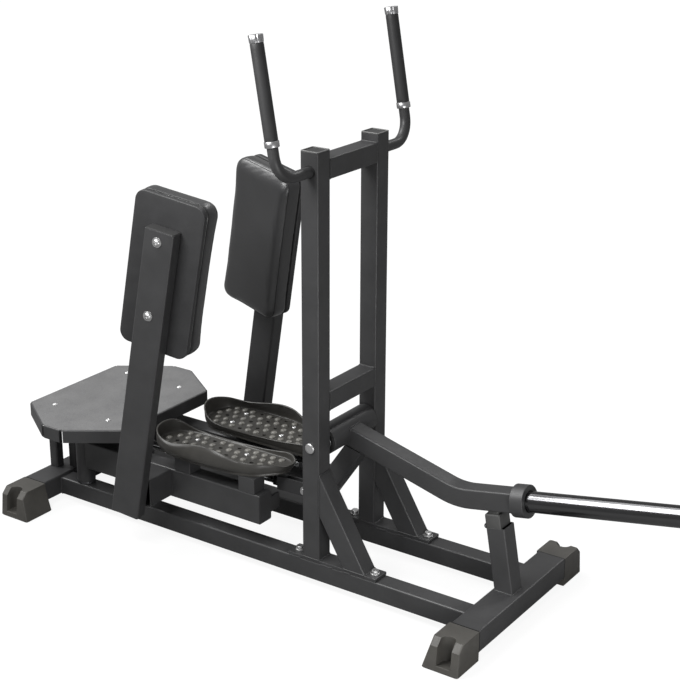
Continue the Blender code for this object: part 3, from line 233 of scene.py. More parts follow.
def join(*shapes):
    points = []
    faces = []
    for more_points, more_faces in shapes:
        start = len(points)
        points.extend(more_points)
        for face in more_faces:
            faces.append([start + index for index in face])
    return points, faces


def mirrored(shape):
    points, faces = shape
    flipped = [at(p.x, -p.y, p.z) for p in points]
    return flipped, [face[::-1] for face in faces]


def stack(loops, closed=False):
    """Skin through loops of equal count; closed joins the last to the first."""
    count = len(loops[0])
    points = [point for loop in loops for point in loop]
    faces = []
    levels = len(loops) if closed else len(loops) - 1
    for level in range(levels):
        low = level * count
        high = ((level + 1) % len(loops)) * count
        for step in range(count):
            after = (step + 1) % count
            faces.append([low + step, low + after, high + after, high + step])
    if not closed:
        top = (len(loops) - 1) * count
        faces.append([count - 1 - step for step in range(count)])
        faces.append([top + step for step in range(count)])
    return points, faces


def path_loops(path, side, outline, start=None, end=None):
    """The outline carried along the path, mitred where the path turns."""
    runs = [(path[i + 1] - path[i]).normalized() for i in range(len(path) - 1)]
    loops = []
    for index, place in enumerate(path):
        run = runs[min(index, len(runs) - 1)]
        if index == 0:
            normal = start or run
        elif index == len(path) - 1:
            normal = end or run
        else:
            normal = (runs[index - 1] + runs[index]).normalized()
            run = runs[index - 1]
        up = run.cross(side).normalized()
        loop = []
        for across, over in outline:
            point = place + side * across + up * over
            loop.append(point - run * ((point - place).dot(normal) / run.dot(normal)))
        loops.append(loop)
    return loops


def tube(path, side, outline, bore, start=None, end=None):
    outer = path_loops(path, side, outline, start, end)
    inner = path_loops(path, side, bore, start, end)
    return stack(outer + inner[::-1], closed=True)


def box_tube(path, side, width=50.0, height=50.0, wall=3.0, start=None, end=None, corner=5.0):
    outline = rounded(width, height, corner)
    bore = rounded(width - 2 * wall, height - 2 * wall, max(0.5, corner - wall))
    return tube(path, side, outline, bore, start, end)


def block(low, high, radius=2.0):
    outline = rounded(high[0] - low[0], high[1] - low[1], radius, 4)
    middle = ((low[0] + high[0]) / 2, (low[1] + high[1]) / 2)
    loops = []
    for level in (low[2], high[2]):
        loops.append([at(middle[0] + a, middle[1] + b, level) for a, b in outline])
    return stack(loops)


def turned(centre, axis, profile, count=48, closed=False, flutes=0):
    """Body of revolution; the profile holds distances along the axis and radii."""
    axis = axis.normalized()
    side = axis.orthogonal().normalized()
    up = axis.cross(side)
    points = []
    rows = []
    for along, radius in profile:
        middle = centre + axis * along
        if radius == 0:
            rows.append([len(points)])
            points.append(middle)
            continue
        rows.append(list(range(len(points), len(points) + count)))
        for step, (across, over) in enumerate(circle(radius, count)):
            depth = 1.0
            if flutes:
                depth -= 0.09 * max(0.0, math.cos(2 * math.pi * flutes * step / count)) ** 2
            points.append(middle + (side * across + up * over) * depth)
    faces = []
    last = len(rows) if closed else len(rows) - 1
    for index in range(last):
        here = rows[index]
        there = rows[(index + 1) % len(rows)]
        for step in range(count):
            after = (step + 1) % count
            if len(here) == 1:
                faces.append([here[0], there[step], there[after]])
            elif len(there) == 1:
                faces.append([here[step], here[after], there[0]])
            else:
                faces.append([here[step], here[after], there[after], there[step]])
    return points, faces


def ring(centre, axis, start, end, bore, radius, count=72):
    profile = [(start, bore), (start, radius), (end, radius), (end, bore)]
    return turned(centre, axis, profile, count, closed=True)


def pin(centre, axis, length, radius, count):
    return turned(centre, axis, [(0.0, 0), (0.0, radius), (length, radius), (length, 0)], count)


def world(point):
    return at((point.x + X_SHIFT) * MM, point.y * MM, point.z * MM)


# Pieces

def finish_piece(item, finish, body, nodes=(), bevel=0.0, segments=2, angle=35.0):
    """Material, softened edges and the body the piece rides on."""
    item.data.materials.clear()
    item.data.materials.append(finish)
    item.data.polygons.foreach_set("use_smooth", [True] * len(item.data.polygons))
    if bevel:
        soft = item.modifiers.new("edges", "BEVEL")
        soft.width = bevel * MM
        soft.segments = segments
        soft.limit_method = "ANGLE"
        soft.angle_limit = math.radians(angle)
        soft.use_clamp_overlap = True
        even = item.modifiers.new("shading", "WEIGHTED_NORMAL")
        even.keep_sharp = True
        even.weight = 60
    else:
        item.data.set_sharp_from_angle(angle=math.radians(angle))
    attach(item, body)
    if nodes:
        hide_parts(*nodes)


def linked(name, data):
    item = bpy.data.objects.new(name, data)
    bpy.context.scene.collection.objects.link(item)
    return item


def mesh_object(name, shape):
    points, faces = shape
    mesh = bpy.data.meshes.new(name)
    mesh.from_pydata([world(point) for point in points], [], faces)
    work = bmesh.new()
    work.from_mesh(mesh)
    bmesh.ops.recalc_face_normals(work, faces=work.faces)
    work.to_mesh(mesh)
    work.free()
    return linked(name, mesh)


def make(name, shape, finish, body, nodes=(), bevel=0.6, segments=2, angle=35.0):
    finish_piece(mesh_object(name, shape), finish, body, nodes, bevel, segments, angle)


def smooth(name, shape, finish, body, nodes=(), angle=50.0):
    """A piece whose edges are sharp above an angle and not bevelled."""
    make(name, shape, finish, body, nodes, 0.0, 2, angle)


def dress(node, finish, body, bevel=0.6, angle=40.0):
    """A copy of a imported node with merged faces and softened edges."""
    source = frame["nodes"][node]
    mesh = source.data.copy()
    mesh.name = node + "_finish"
    work = bmesh.new()
    work.from_mesh(mesh)
    bmesh.ops.remove_doubles(work, verts=work.verts, dist=0.00001)
    bmesh.ops.dissolve_limit(work, angle_limit=math.radians(1.0), verts=work.verts, edges=work.edges)
    bmesh.ops.recalc_face_normals(work, faces=work.faces)
    work.to_mesh(mesh)
    work.free()
    finish_piece(linked(node + "_finish", mesh), finish, body, (node,), bevel, 2, angle)


def resample(points, spacing, closed=True):
    """Points at an even spacing along a line."""
    line = list(points)
    if closed:
        line.append(line[0])
    lengths = [0.0]
    for here, there in zip(line, line[1:]):
        lengths.append(lengths[-1] + (there - here).length)
    count = max(3, int(round(lengths[-1] / spacing)))
    result = []
    place = 0
    steps = count if closed else count + 1
    for step in range(steps):
        target = lengths[-1] * step / count
        while place < len(line) - 2 and lengths[place + 1] < target:
            place += 1
        part = max(1e-9, lengths[place + 1] - lengths[place])
        share = min(1.0, max(0.0, (target - lengths[place]) / part))
        result.append(line[place].lerp(line[place + 1], share))
    return result


def bead_shape(points, radius, closed, seed):
    """Weld bead laid along a line: small even ripples that vary a little."""
    line = resample(points, 1.3, closed)
    count = len(line)
    loops = []
    for index, place in enumerate(line):
        before = line[index - 1] if closed or index else line[0]
        after = line[(index + 1) % count] if closed or index < count - 1 else line[-1]
        run = after - before
        if run.length < 1e-6:
            run = X.copy()
        run.normalize()
        side = run.orthogonal().normalized()
        up = run.cross(side)
        wave = 0.5 + 0.5 * math.cos(index * 2 * math.pi / 3.0)
        drift = noise.noise(place * 0.13 + at(seed, 0.0, 0.0))
        size = radius * (0.84 + 0.14 * wave + 0.22 * drift)
        loops.append([place + side * a * size + up * b * size for a, b in circle(1.0, 7)])
    return stack(loops, closed)


beads = {}


def bead(body, points, radius=2.2, closed=True):
    laid = beads.setdefault(body, [])
    laid.append(bead_shape(points, radius, closed, seed=7.3 * len(laid)))


def bead_both(points, radius, closed=True):
    bead("root", points, radius, closed)
    bead("root", [at(p.x, -p.y, p.z) for p in points], radius, closed)


# Base frame

TUBE_OUTLINE = rounded(50.0, 50.0, 5.0)
RAIL_Y = 122.0
RAIL_HALF = 25.0
RAIL_REAR_X = -873.0
RAIL_FRONT_X = 415.0
RAIL_MIDDLE_Z = 46.0
RAIL_TOP_Z = 71.0
BEAM_MIDDLE_Z = 50.0
PLATE_TOP_Z = 79.0
PLATE_BOLTS = (("rear", -75.0), ("front", 149.0))
BEAMS = (("front", 452.5), ("rear", -910.5))

rail_ends = [at(x, -RAIL_Y, RAIL_MIDDLE_Z) for x in (RAIL_REAR_X + GAP, RAIL_FRONT_X - GAP)]
rail = box_tube(rail_ends, Y)
plate_low = (-95.0, -RAIL_Y - RAIL_HALF, RAIL_TOP_Z + GAP)
plate = block(plate_low, (166.0, -RAIL_Y + RAIL_HALF, PLATE_TOP_Z), 2.0)
for side, turn in SIDES:
    make("rail_steel_" + side, turn(rail), PAINT, "root", ("rail_" + side,), 0.5)
    make("base_plate_steel_" + side, turn(plate), PAINT, "root", ("base_plate_" + side,), 1.0, 3)
for x in (RAIL_REAR_X - 0.2, RAIL_FRONT_X + 0.2):
    bead_both([at(x, -RAIL_Y + a, RAIL_MIDDLE_Z + b) for a, b in TUBE_OUTLINE], 1.9)
for edge in (-RAIL_HALF, RAIL_HALF):
    for ends in ((-88.0, -58.0), (6.0, 38.0), (70.0, 92.0)):
        bead_both([at(x, -RAIL_Y + edge * 0.985, RAIL_TOP_Z - 0.4) for x in ends], 1.5, False)


def hexagon_head(place, axis, radius, height, name, body, nodes=(), finish=ZINC):
    """Hexagon head with a domed chamfer."""
    side = axis.orthogonal().normalized()
    up = axis.cross(side)
    loops = []
    for level, along in enumerate((0.0, height * 0.72, height)):
        loop = []
        for step in range(48):
            angle = 2 * math.pi * step / 48
            flat = radius * math.cos(math.pi / 6) / math.cos(angle % (math.pi / 3) - math.pi / 6)
            distance = (flat, min(flat, radius * 0.95), radius * 0.8)[level]
            drop = height * 0.14 * max(0.0, flat / radius - 0.93) / 0.07 if level == 1 else 0.0
            across = side * math.cos(angle) * distance
            over = up * math.sin(angle) * distance
            loop.append(place + axis * (along - drop) + across + over)
        loops.append(loop)
    make(name, stack(loops), finish, body, nodes, 0.5, 2, 40.0)


def washer(place, axis, radius, bore, thick, name, body):
    make(name, ring(place, axis, 0.0, thick, bore, radius, 48), ZINC, body, (), 0.35)


for side, sign in SIGN.items():
    for place, x in PLATE_BOLTS:
        centre = at(x, sign * RAIL_Y, PLATE_TOP_Z + GAP)
        name = place + "_" + side
        washer(centre, Z, 12.0, 5.0, 2.0, "base_washer_" + name, "root")
        hexagon_head(centre + Z * 2.0, Z, 10.5, 8.3, "base_hex_" + name, "root", ("base_bolt_" + name,))

for place, x in BEAMS:
    name = place + "_cross_beam"
    ends = [at(x, y, BEAM_MIDDLE_Z) for y in (-211.0 + GAP, 211.0 - GAP)]
    make(name + "_steel", box_tube(ends, X, 75.0, 56.0), PAINT, "root", (name,), 0.5)

# Black ring round each beam at its foot cap: painted shade for the shadow line where the cap steps out from
# the beam.
for place, x in BEAMS:
    loops = []
    for y, size in ((-209.2, 0.35), (-210.9, 0.35), (-210.9, -0.4), (-209.2, -0.4)):
        outline = rounded(75.0 + 2 * size, 56.0 + 2 * size, 5.0 + size)
        loops.append([at(x + a, y, BEAM_MIDDLE_Z + b) for a, b in outline])
    cap_shade_ring = stack(loops, closed=True)
    for side, turn in SIDES:
        dress("foot_cap_" + place + "_" + side, FOOT, "root", 1.6, 25.0)
        smooth("cap_painted_shade_" + place + "_" + side, turn(cap_shade_ring), PLUG_AND_SHADE, "root", (), 60.0)


# Uprights, crossbars and braces

UPRIGHT_X = -25.0
UPRIGHT_TOP_Z = 1096.5
BRACE_TOP_Z = 252.7
BRACE_LEAN = math.radians(30.5)
CROSSBAR_END_Y = -97.0

upright_ends = [at(UPRIGHT_X, -RAIL_Y, z) for z in (PLATE_TOP_Z + GAP, UPRIGHT_TOP_Z)]
upright = box_tube(upright_ends, Y)
brace_top = at(GAP, -RAIL_Y, BRACE_TOP_Z)
brace_length = (BRACE_TOP_Z - PLATE_TOP_Z - GAP) / math.cos(BRACE_LEAN)
brace_path = [brace_top, brace_top + at(math.sin(BRACE_LEAN), 0.0, -math.cos(BRACE_LEAN)) * brace_length]
brace = box_tube(brace_path, Y, 50.0, 56.0, start=X, end=-Z)
brace_loops = path_loops(brace_path, Y, rounded(50.0, 56.0, 5.0), X, -Z)


def upright_loop(size, corner, height):
    """Outline across the upright at a height."""
    return [at(UPRIGHT_X + a, -RAIL_Y + b, height) for a, b in rounded(size, size, corner)]


def lid_loop(size, corner, level):
    return upright_loop(size, corner, UPRIGHT_TOP_Z + level)


rim_rows = ((50.0, 5.0, GAP), (50.0, 5.0, 3.0), (42.5, 2.6, 3.0), (42.5, 2.6, GAP))
lid_rim = stack([lid_loop(*row) for row in rim_rows], closed=True)
lid_floor = stack([lid_loop(42.3, 2.5, -3.0), lid_loop(42.3, 2.5, 1.2)])
for side, turn in SIDES:
    make("upright_steel_" + side, turn(upright), PAINT, "root", ("upright_" + side,), 0.5)
    make("brace_steel_" + side, turn(brace), PAINT, "root", ("brace_" + side,), 0.5)
    make("upright_lid_" + side, turn(lid_rim), RIM_PAINTED_HIGHLIGHT, "root", ("upright_cap_" + side,), 1.2, 3)
    make("upright_plug_" + side, turn(lid_floor), PAINT_TOP, "root", (), 0.4)
bead_both([p + X * 0.5 for p in brace_loops[0]], 2.0)
bead_both(brace_loops[1], 2.0)
bead_both(upright_loop(50.0, 5.0, PLATE_TOP_Z + 0.3), 2.0)

for name, level in (("top_crossbar", 1053.0), ("lower_crossbar", 485.0)):
    ends = [at(UPRIGHT_X, y, level) for y in (CROSSBAR_END_Y + GAP, -CROSSBAR_END_Y - GAP)]
    make(name + "_steel", box_tube(ends, X), PAINT, "root", (name,), 0.4)
    joint = [at(UPRIGHT_X + a, CROSSBAR_END_Y + 0.4, level + b) for a, b in rounded(49.0, 49.0, 5.0)]
    bead_both(joint, 1.8)


# Handlebars

BAR_START = at(-23.3, 0.0, 1052.0)
BAR_LEAN = math.radians(9.8)
BAR_UP = at(-math.sin(BAR_LEAN), 0.0, math.cos(BAR_LEAN))
BAR_FOOT_Y = 147.3
BAR_Y = 266.0
BAR_BEND = 57.0
COLLAR_START = 78.0
GRIP_START = 92.5
GRIP_END = 304.0
GRIP_LENGTH = GRIP_END - GRIP_START


def bar_point(distance, along):
    return BAR_START + BAR_UP * along + Y * -distance


bar_path = [bar_point(BAR_FOOT_Y, 0.0)]
for step in range(19):
    angle = math.radians(90.0 * step / 18)
    distance = BAR_Y - BAR_BEND * (1.0 - math.sin(angle))
    bar_path.append(bar_point(distance, BAR_BEND * (1.0 - math.cos(angle))))
bar_path.append(bar_point(BAR_Y, GRIP_END - GAP))
bar_side = BAR_UP.cross(Y).normalized()
handlebar = tube(bar_path, bar_side, circle(13.0, 32), circle(11.0, 32), start=Y)
grip_profile = [(0.0, 13.2), (0.0, 14.6), (0.5, 15.2), (1.6, 15.5)]
grip_profile += [(1.6 + (GRIP_LENGTH - 3.6) * step / 20, 15.5) for step in range(1, 21)]
grip_profile += [(GRIP_LENGTH - 1.0, 15.2), (GRIP_LENGTH - 0.4, 14.6), (GRIP_LENGTH - 0.4, 13.2)]
grip = turned(bar_point(BAR_Y, GRIP_START), BAR_UP, grip_profile, 48, closed=True)
collar_profile = [(0.0, 13.1), (0.0, 16.2), (1.0, 17.0), (13.0, 17.0), (14.0, 16.2), (14.0, 13.1)]
collar = turned(bar_point(BAR_Y, COLLAR_START), BAR_UP, collar_profile, 96, closed=True)
cap_profile = [(-8.0, 0), (-8.0, 10.6), (0.0, 10.6), (0.0, 15.4), (0.8, 16.1), (16.6, 17.0)]
cap_profile += [(17.6, 16.2), (18.0, 14.6), (17.2, 13.0), (16.9, 0)]
end_cap = turned(bar_point(BAR_Y, GRIP_END), BAR_UP, cap_profile, 96, flutes=8)
for side, turn in SIDES:
    make("handlebar_steel_" + side, turn(handlebar), PAINT, "root", ("handlebar_" + side,), 0.4)
    smooth("grip_foam_" + side, turn(grip), GRIP, "root", ("grip_" + side,), 60.0)
    smooth("grip_collar_" + side, turn(collar), TRIM_CHROME, "root")
    smooth("bar_cap_" + side, turn(end_cap), TRIM_CHROME, "root", ("grip_end_cap_" + side,))
bar_joint = []
for a, b in circle(13.2, 40):
    bar_joint.append(at(BAR_START.x + a, -BAR_FOOT_Y - 0.1, BAR_START.z + b / math.cos(BAR_LEAN)))
bead_both(bar_joint, 1.3)
# Black ring where each bar meets its upright: painted shade for the contact shadow at the joint.
seat = ring(at(BAR_START.x, -BAR_FOOT_Y, BAR_START.z), -Y, 0.0, 2.6, 13.1, 15.2, 48)
for side, turn in SIDES:
    make("bar_painted_shade_ring_" + side, turn(seat), PLUG_AND_SHADE, "root", (), 0.4)


# Pivot axle and its caps

PIVOT = at(-25.0, 0.0, 374.0)
make("pivot_shaft", pin(PIVOT - Y * 147.0, Y, 294.0, 9.7, 40), DARK_STEEL, "root", ("pivot_axle",), 0.3)
dome = [(0.1, 0), (0.1, 12.4), (0.6, 13.0), (2.6, 13.0), (4.0, 12.3), (4.9, 10.4)]
dome += [(5.3, 7.0), (5.5, 3.5), (5.5, 0)]
for side, sign in SIGN.items():
    cap = turned(PIVOT + Y * sign * 147.0, Y * sign, dome, 48)
    smooth("axle_cap_" + side, cap, ZINC, "root")


# Weight arm and all that turns with it

ARM = "weight_arm"
ARM_DROP = math.radians(14.83)
ARM_RISE = math.radians(10.2)
ARM_BEND = at(308.0, 0.0, 285.9)
COLLAR_REAR = at(459.0, 0.0, 312.8)
ARM_RUN = at(math.cos(ARM_DROP), 0.0, -math.sin(ARM_DROP))
ARM_UP = at(math.sin(ARM_DROP), 0.0, math.cos(ARM_DROP))
LOAD_RUN = at(math.cos(ARM_RISE), 0.0, math.sin(ARM_RISE))
LOAD_UP = at(-math.sin(ARM_RISE), 0.0, math.cos(ARM_RISE))
BEND_RADIUS = 165.0
bend_start = ARM_BEND - ARM_RUN * (BEND_RADIUS * math.tan((ARM_DROP + ARM_RISE) / 2))
bend_centre = bend_start + ARM_UP * BEND_RADIUS
arm_path = [PIVOT + ARM_RUN * 38.0]
for step in range(21):
    angle = (ARM_DROP + ARM_RISE) * step / 20 - ARM_DROP
    arm_path.append(bend_centre + at(math.sin(angle), 0.0, -math.cos(angle)) * BEND_RADIUS)
arm_path.append(COLLAR_REAR - LOAD_RUN * GAP)


def saddle(loop, radius):
    """End of the arm's outline brought onto the pivot sleeve's surface."""
    result = []
    for point in loop:
        offset = at(point.x - PIVOT.x, 0.0, point.z - PIVOT.z)
        across = offset - ARM_RUN * offset.dot(ARM_RUN)
        reach = math.sqrt(max(0.0, radius * radius - across.length_squared))
        result.append(at(PIVOT.x, point.y, PIVOT.z) + across + ARM_RUN * reach)
    return result


arm_outer = path_loops(arm_path, Y, TUBE_OUTLINE)
arm_inner = path_loops(arm_path, Y, rounded(44.0, 44.0, 2.0))
arm_outer[0] = saddle(arm_outer[0], 35.2)
arm_inner[0] = saddle(arm_inner[0], 35.2)
arm_shape = stack(arm_outer + arm_inner[::-1], closed=True)
smooth("weight_arm_steel", arm_shape, PAINT, ARM, ("weight_arm",), 40.0)
bead(ARM, saddle(path_loops(arm_path, Y, rounded(51.0, 51.0, 5.0))[0], 35.4))

sleeve = ring(PIVOT - Y * 91.5, Y, 0.0, 183.0, 30.0, 35.0)
make("pivot_sleeve_steel", sleeve, PAINT, ARM, ("pivot_sleeve",), 1.2, 3, 50.0)
bush_profile = [(0.0, 10.2), (0.0, 33.0), (4.2, 33.0), (4.2, 29.7), (40.0, 29.7), (40.0, 10.2)]
bush = turned(PIVOT - Y * 96.0, Y, bush_profile, 60, closed=True)
race = ring(PIVOT - Y * 96.0, Y, -0.5, 1.2, 20.0, 24.4, 60)
for side, turn in SIDES:
    make("pivot_bearing_" + side, turn(bush), PLUG_AND_SHADE, ARM, ("pivot_bush_" + side,), 0.8, 3, 50.0)
    make("bearing_race_" + side, turn(race), CHROME, ARM, (), 0.3)

dress("crank_arm", PAINT, ARM)
dress("crank_pin", ZINC, ARM)

stop = ring(COLLAR_REAR, LOAD_RUN, 0.0, 34.5, 25.3, 39.5)
make("stop_collar_steel", stop, PAINT, ARM, ("stop_collar",), 1.6, 3, 50.0)
bead(ARM, [p - LOAD_RUN * 0.6 for p in path_loops(arm_path, Y, TUBE_OUTLINE)[-1]], 2.0)
load_profile = [(437.0, 0), (437.0, 22.0), (0.2, 22.0), (0.2, 25.0), (445.0, 25.0), (445.0, 0)]
load = turned(COLLAR_REAR, LOAD_RUN, load_profile, 72)
make("weight_sleeve_chrome", load, SLEEVE_CHROME, ARM, ("weight_sleeve",), 2.4, 4, 50.0)


# Post and buffer under the arm

REST_LOW = at(421.0, 0.0, 77.4)
REST_HIGH = at(393.4, 0.0, 233.0)
REST_RUN = (REST_HIGH - REST_LOW).normalized()
REST_ACROSS = at(REST_RUN.z, 0.0, -REST_RUN.x)
rest_low = REST_LOW + REST_ACROSS * 25.0
rest_low = rest_low + REST_RUN * ((78.3 - rest_low.z) / REST_RUN.z)
rest_high = REST_HIGH + REST_ACROSS * 25.0
rest_path = [rest_low, rest_high]
make("rest_post_steel", box_tube(rest_path, Y, start=Z), PAINT, "root", ("rest_post",), 0.5)
bead("root", path_loops(rest_path, Y, TUBE_OUTLINE, Z)[0], 2.0)
arm_underside = COLLAR_REAR - LOAD_UP * 25.0
buffer_middle = rest_high - REST_ACROSS * 4.5
buffer_levels = ((GAP, 0.0, 4.0), (31.0, 0.0, 4.5), (33.4, 0.7, 5.0))
buffer_levels += ((34.6, 2.2, 5.0), (35.0, 4.4, 5.0), (35.0, 6.0, 5.0))
buffer_loops = []
for along, inset, corner in buffer_levels:
    outline = rounded(49.0 - 2 * inset, 41.0 - 2 * inset, corner)
    buffer_loops.append([buffer_middle + REST_RUN * along + Y * a + REST_ACROSS * b for a, b in outline])
top_loop = []
for point in buffer_loops[-1]:
    rise = (arm_underside - point).dot(LOAD_UP) / REST_RUN.dot(LOAD_UP)
    top_loop.append(point + REST_RUN * (rise - 0.5))
buffer_loops.append(top_loop)
smooth("arm_rest_rubber", stack(buffer_loops), RUBBER, "root", ("rest_buffer",), 60.0)
button = [(0.2, 0), (0.2, 6.2), (1.0, 6.8), (3.6, 6.0), (5.6, 4.2), (6.4, 2.0), (6.6, 0)]
stop_screw = turned(rest_high + REST_RUN * 3.0 - REST_ACROSS * 25.0 - Y * 17.0, -REST_ACROSS, button, 36)
smooth("arm_rest_screw", stop_screw, DARK_STEEL, "root")


# Hinge spindles at the rear

HINGE = at(-800.0, -RAIL_Y, 0.0)
spindle_profile = [(GAP, 0), (GAP, 24.0), (0.8, 24.5), (5.9, 24.5), (6.5, 24.0), (6.5, 15.0), (136.0, 15.0)]
spindle_profile += [(136.0, 20.4), (136.5, 21.0), (138.5, 21.0), (139.0, 20.4), (139.0, 0)]
spindle = turned(at(HINGE.x, HINGE.y, RAIL_TOP_Z), Z, spindle_profile, 56)
for side, turn in SIDES:
    smooth("hinge_pin_" + side, turn(spindle), DARK_STEEL, "root", ("hinge_spindle_" + side,), 40.0)
    place = at(HINGE.x, SIGN[side] * RAIL_Y, RAIL_TOP_Z + 139.0)
    hexagon_head(place, Z, 12.5, 8.5, "hinge_nut_" + side, "root", (), DARK_STEEL)


# Platform

PLATFORM = ((-949.0, -172.0), (-808.0, -267.0), (-742.0, -267.0), (-605.0, -172.0))
PLATFORM_TOP_Z = 286.0
PLATFORM_THICK = 3.5
FOLD = 4.5
FLANGE_LOW_Z = 250.0
corners = [at(x, y, 0.0) for x, y in PLATFORM] + [at(x, -y, 0.0) for x, y in reversed(PLATFORM)]


def inward_corner(index, amount):
    """Corner of the platform moved in by the same amount from both its sides."""
    here = corners[index]
    before = (here - corners[index - 1]).normalized()
    after = (corners[(index + 1) % 8] - here).normalized()
    first = at(-before.y, before.x, 0.0)
    second = at(-after.y, after.x, 0.0)
    return here + (first + second) * (amount / (1.0 + first.dot(second)))


top_outline = []
for index in range(8):
    point = inward_corner(index, FOLD)
    before = (corners[index - 1] - corners[index]).normalized()
    after = (corners[(index + 1) % 8] - corners[index]).normalized()
    top_outline.append(point + before * 2.0)
    top_outline.append(inward_corner(index, FOLD + 3.0))
    top_outline.append(point + after * 2.0)
levels = (PLATFORM_TOP_Z - PLATFORM_THICK, PLATFORM_TOP_Z)
top_plate = stack([[p + Z * level for p in top_outline] for level in levels])


def fold_arc(radius):
    """Section of the folded edge, from the top down."""
    angles = [math.radians(90.0 * step / 8) for step in range(9)]
    return [(radius * math.sin(a), PLATFORM_TOP_Z - FOLD + radius * math.cos(a)) for a in angles]


inner = FOLD - PLATFORM_THICK
section = fold_arc(FOLD) + [(FOLD, FLANGE_LOW_Z), (inner, FLANGE_LOW_Z)] + fold_arc(inner)[::-1]
flanges = []
for index in range(8):
    start = inward_corner(index, FOLD)
    finish = inward_corner((index + 1) % 8, FOLD)
    run = (finish - start).normalized()
    outward = at(run.y, -run.x, 0.0)
    loops = []
    for place, slack in ((start, 1.0), (finish, -1.0)):
        loop = []
        for a, b in section:
            gap = 2.0 + 2.4 * min(1.0, (PLATFORM_TOP_Z - b) / FOLD)
            loop.append(place + run * gap * slack + outward * a + Z * b)
        loops.append(loop)
    flanges.append(stack(loops))
make("platform_sheet", top_plate, TREAD, "root", ("platform_plate",), 0.4, 2, 40.0)
make("platform_folds", join(*flanges), PAINT, "root", (), 0.4, 2, 40.0)
for side, index in (("right", 1), ("left", 6)):
    spot = inward_corner(index, 4.2)
    strip = pin(at(spot.x, spot.y, FLANGE_LOW_Z + 0.4), Z, 31.0, 3.0, 20)
    make("platform_corner_" + side, strip, PLUG_AND_SHADE, "root", (), 0.3)
screw = [(0.0, 0), (0.0, 6.6), (0.5, 6.8), (1.4, 6.0), (2.2, 4.4), (2.6, 2.8), (1.8, 2.2), (1.5, 0)]
for place, x in (("rear", -880.0), ("front", -686.0)):
    for side, sign in (("left", 1.0), ("right", -1.0)):
        shape = turned(at(x, sign * 145.0, PLATFORM_TOP_Z), Z, screw, 40)
        smooth("platform_screw_" + place + "_" + side, shape, ZINC, "root")
dress("platform_stand", PAINT, "root", 0.5)


# Levers

POST_YAW = math.radians(9.5)
POST_LEAN = math.radians(10.2)
POST_CORNER = at(-556.4, -286.5, 119.4)
yaw_x = math.cos(POST_YAW)
yaw_y = math.sin(POST_YAW)
POST_U = at(yaw_x * math.cos(POST_LEAN), yaw_y * math.cos(POST_LEAN), -math.sin(POST_LEAN))
POST_W = at(-yaw_y, yaw_x, 0.0)
POST_T = at(yaw_x * math.sin(POST_LEAN), yaw_y * math.sin(POST_LEAN), math.cos(POST_LEAN))
POST_DEPTH = 80.0
POST_WIDTH = 38.0
POST_LENGTH = 779.0
BOARD_THICK = 16.0
CUSHION_THICK = 56.0
TOP_ROUND = 22.0


def post_point(across, inward, along):
    return POST_CORNER + POST_U * across + POST_W * inward + POST_T * along


LEVER_Y = 124.0
LEVER_MIDDLE_Z = 164.25
lever_ends = [at(x, -LEVER_Y, LEVER_MIDDLE_Z) for x in (HINGE.x + 26.0, -182.0)]
lever_tube = box_tube(lever_ends, Y, 50.0, 79.5)


def end_plate(centre, axis, side, width, height):
    """Plate let into the end of a tube."""
    path = [centre - axis * 2.5, centre + axis * 1.5]
    return stack(path_loops(path, side, rounded(width - 3.3, height - 3.1, 3.4)))


lever_end = end_plate(lever_ends[1], X, Y, 50.0, 79.5)
cross_start = at(-505.0, -148.8, 165.5)
post_face = post_point(0.0, POST_WIDTH + GAP, 0.0)
cross_reach = (post_face - cross_start).dot(POST_W) / Y.dot(POST_W)
cross_path = [cross_start, cross_start + Y * cross_reach]
cross_piece = box_tube(cross_path, X, 76.0, 75.0, end=-POST_W)
risers = [
    block((-455.0, -148.4, 203.5), (-405.0, -104.6, 244.7), 1.5),
    block((-247.0, -148.4, 203.5), (-197.0, -104.6, 244.7), 1.5),
    block((-454.0, -143.0, 240.0), (-406.0, -107.0, 257.0), 1.5),
    block((-462.0, -147.0, 256.0), (-256.0, -60.0, 261.2), 3.0),
    block((-262.0, -118.0, 240.0), (-206.0, -104.6, 261.2), 1.5),
]
stop_tab = block((-192.0, -100.0, 140.0), (-184.0, -60.0, 182.0), 2.0)
post_ends = [post_point(40.0, 19.0, along) for along in (0.0, POST_LENGTH)]
pad_post = box_tube(post_ends, POST_W, POST_WIDTH, POST_DEPTH)
post_end = end_plate(post_ends[1], POST_T, POST_W, POST_WIDTH, POST_DEPTH)


def pad_loop(depth, inset, drop=0.0):
    """Outline of the pad at a depth, inset from its fullest line, its top lowered."""
    corner = max(10.0, 35.5 - inset)
    outline = rounded(209.0 - 2 * inset, 414.5 - 2 * inset - drop, corner, 12)
    return [post_point(39.0 + a, POST_WIDTH + depth, 655.0 - drop / 2 + b) for a, b in outline]


board_levels = ((GAP, 11.0), (0.6, 9.6), (1.8, 8.4), (3.2, 8.0), (13.0, 8.0), (14.8, 8.8), (16.0, 10.6))
board = stack([pad_loop(depth, inset) for depth, inset in board_levels])
cushion_levels = ((GAP + 0.5, 12.0), (1.3, 8.0), (3.5, 5.2), (8.0, 3.6), (24.0, 2.6), (38.0, 3.0))
cushion_levels += ((43.5, 4.4), (48.0, 7.0), (51.4, 10.8), (53.6, 15.6), (54.6, 22.0), (54.9, 34.0))
cushion_levels += ((55.0, 80.0),)


def cushion_loop(depth, inset):
    """Outline of the cushion at a depth from the board; its top edge rounds off."""
    over = max(0.0, depth - (CUSHION_THICK - TOP_ROUND))
    drop = TOP_ROUND - math.sqrt(max(0.0, TOP_ROUND**2 - min(over, TOP_ROUND) ** 2))
    return pad_loop(BOARD_THICK + depth, inset, drop)


cushion_shape = stack([cushion_loop(depth, inset) for depth, inset in cushion_levels])


def settle(item, modifier):
    """The modifier's work made permanent."""
    bpy.context.view_layer.objects.active = item
    bpy.ops.object.modifier_apply(modifier=modifier.name)


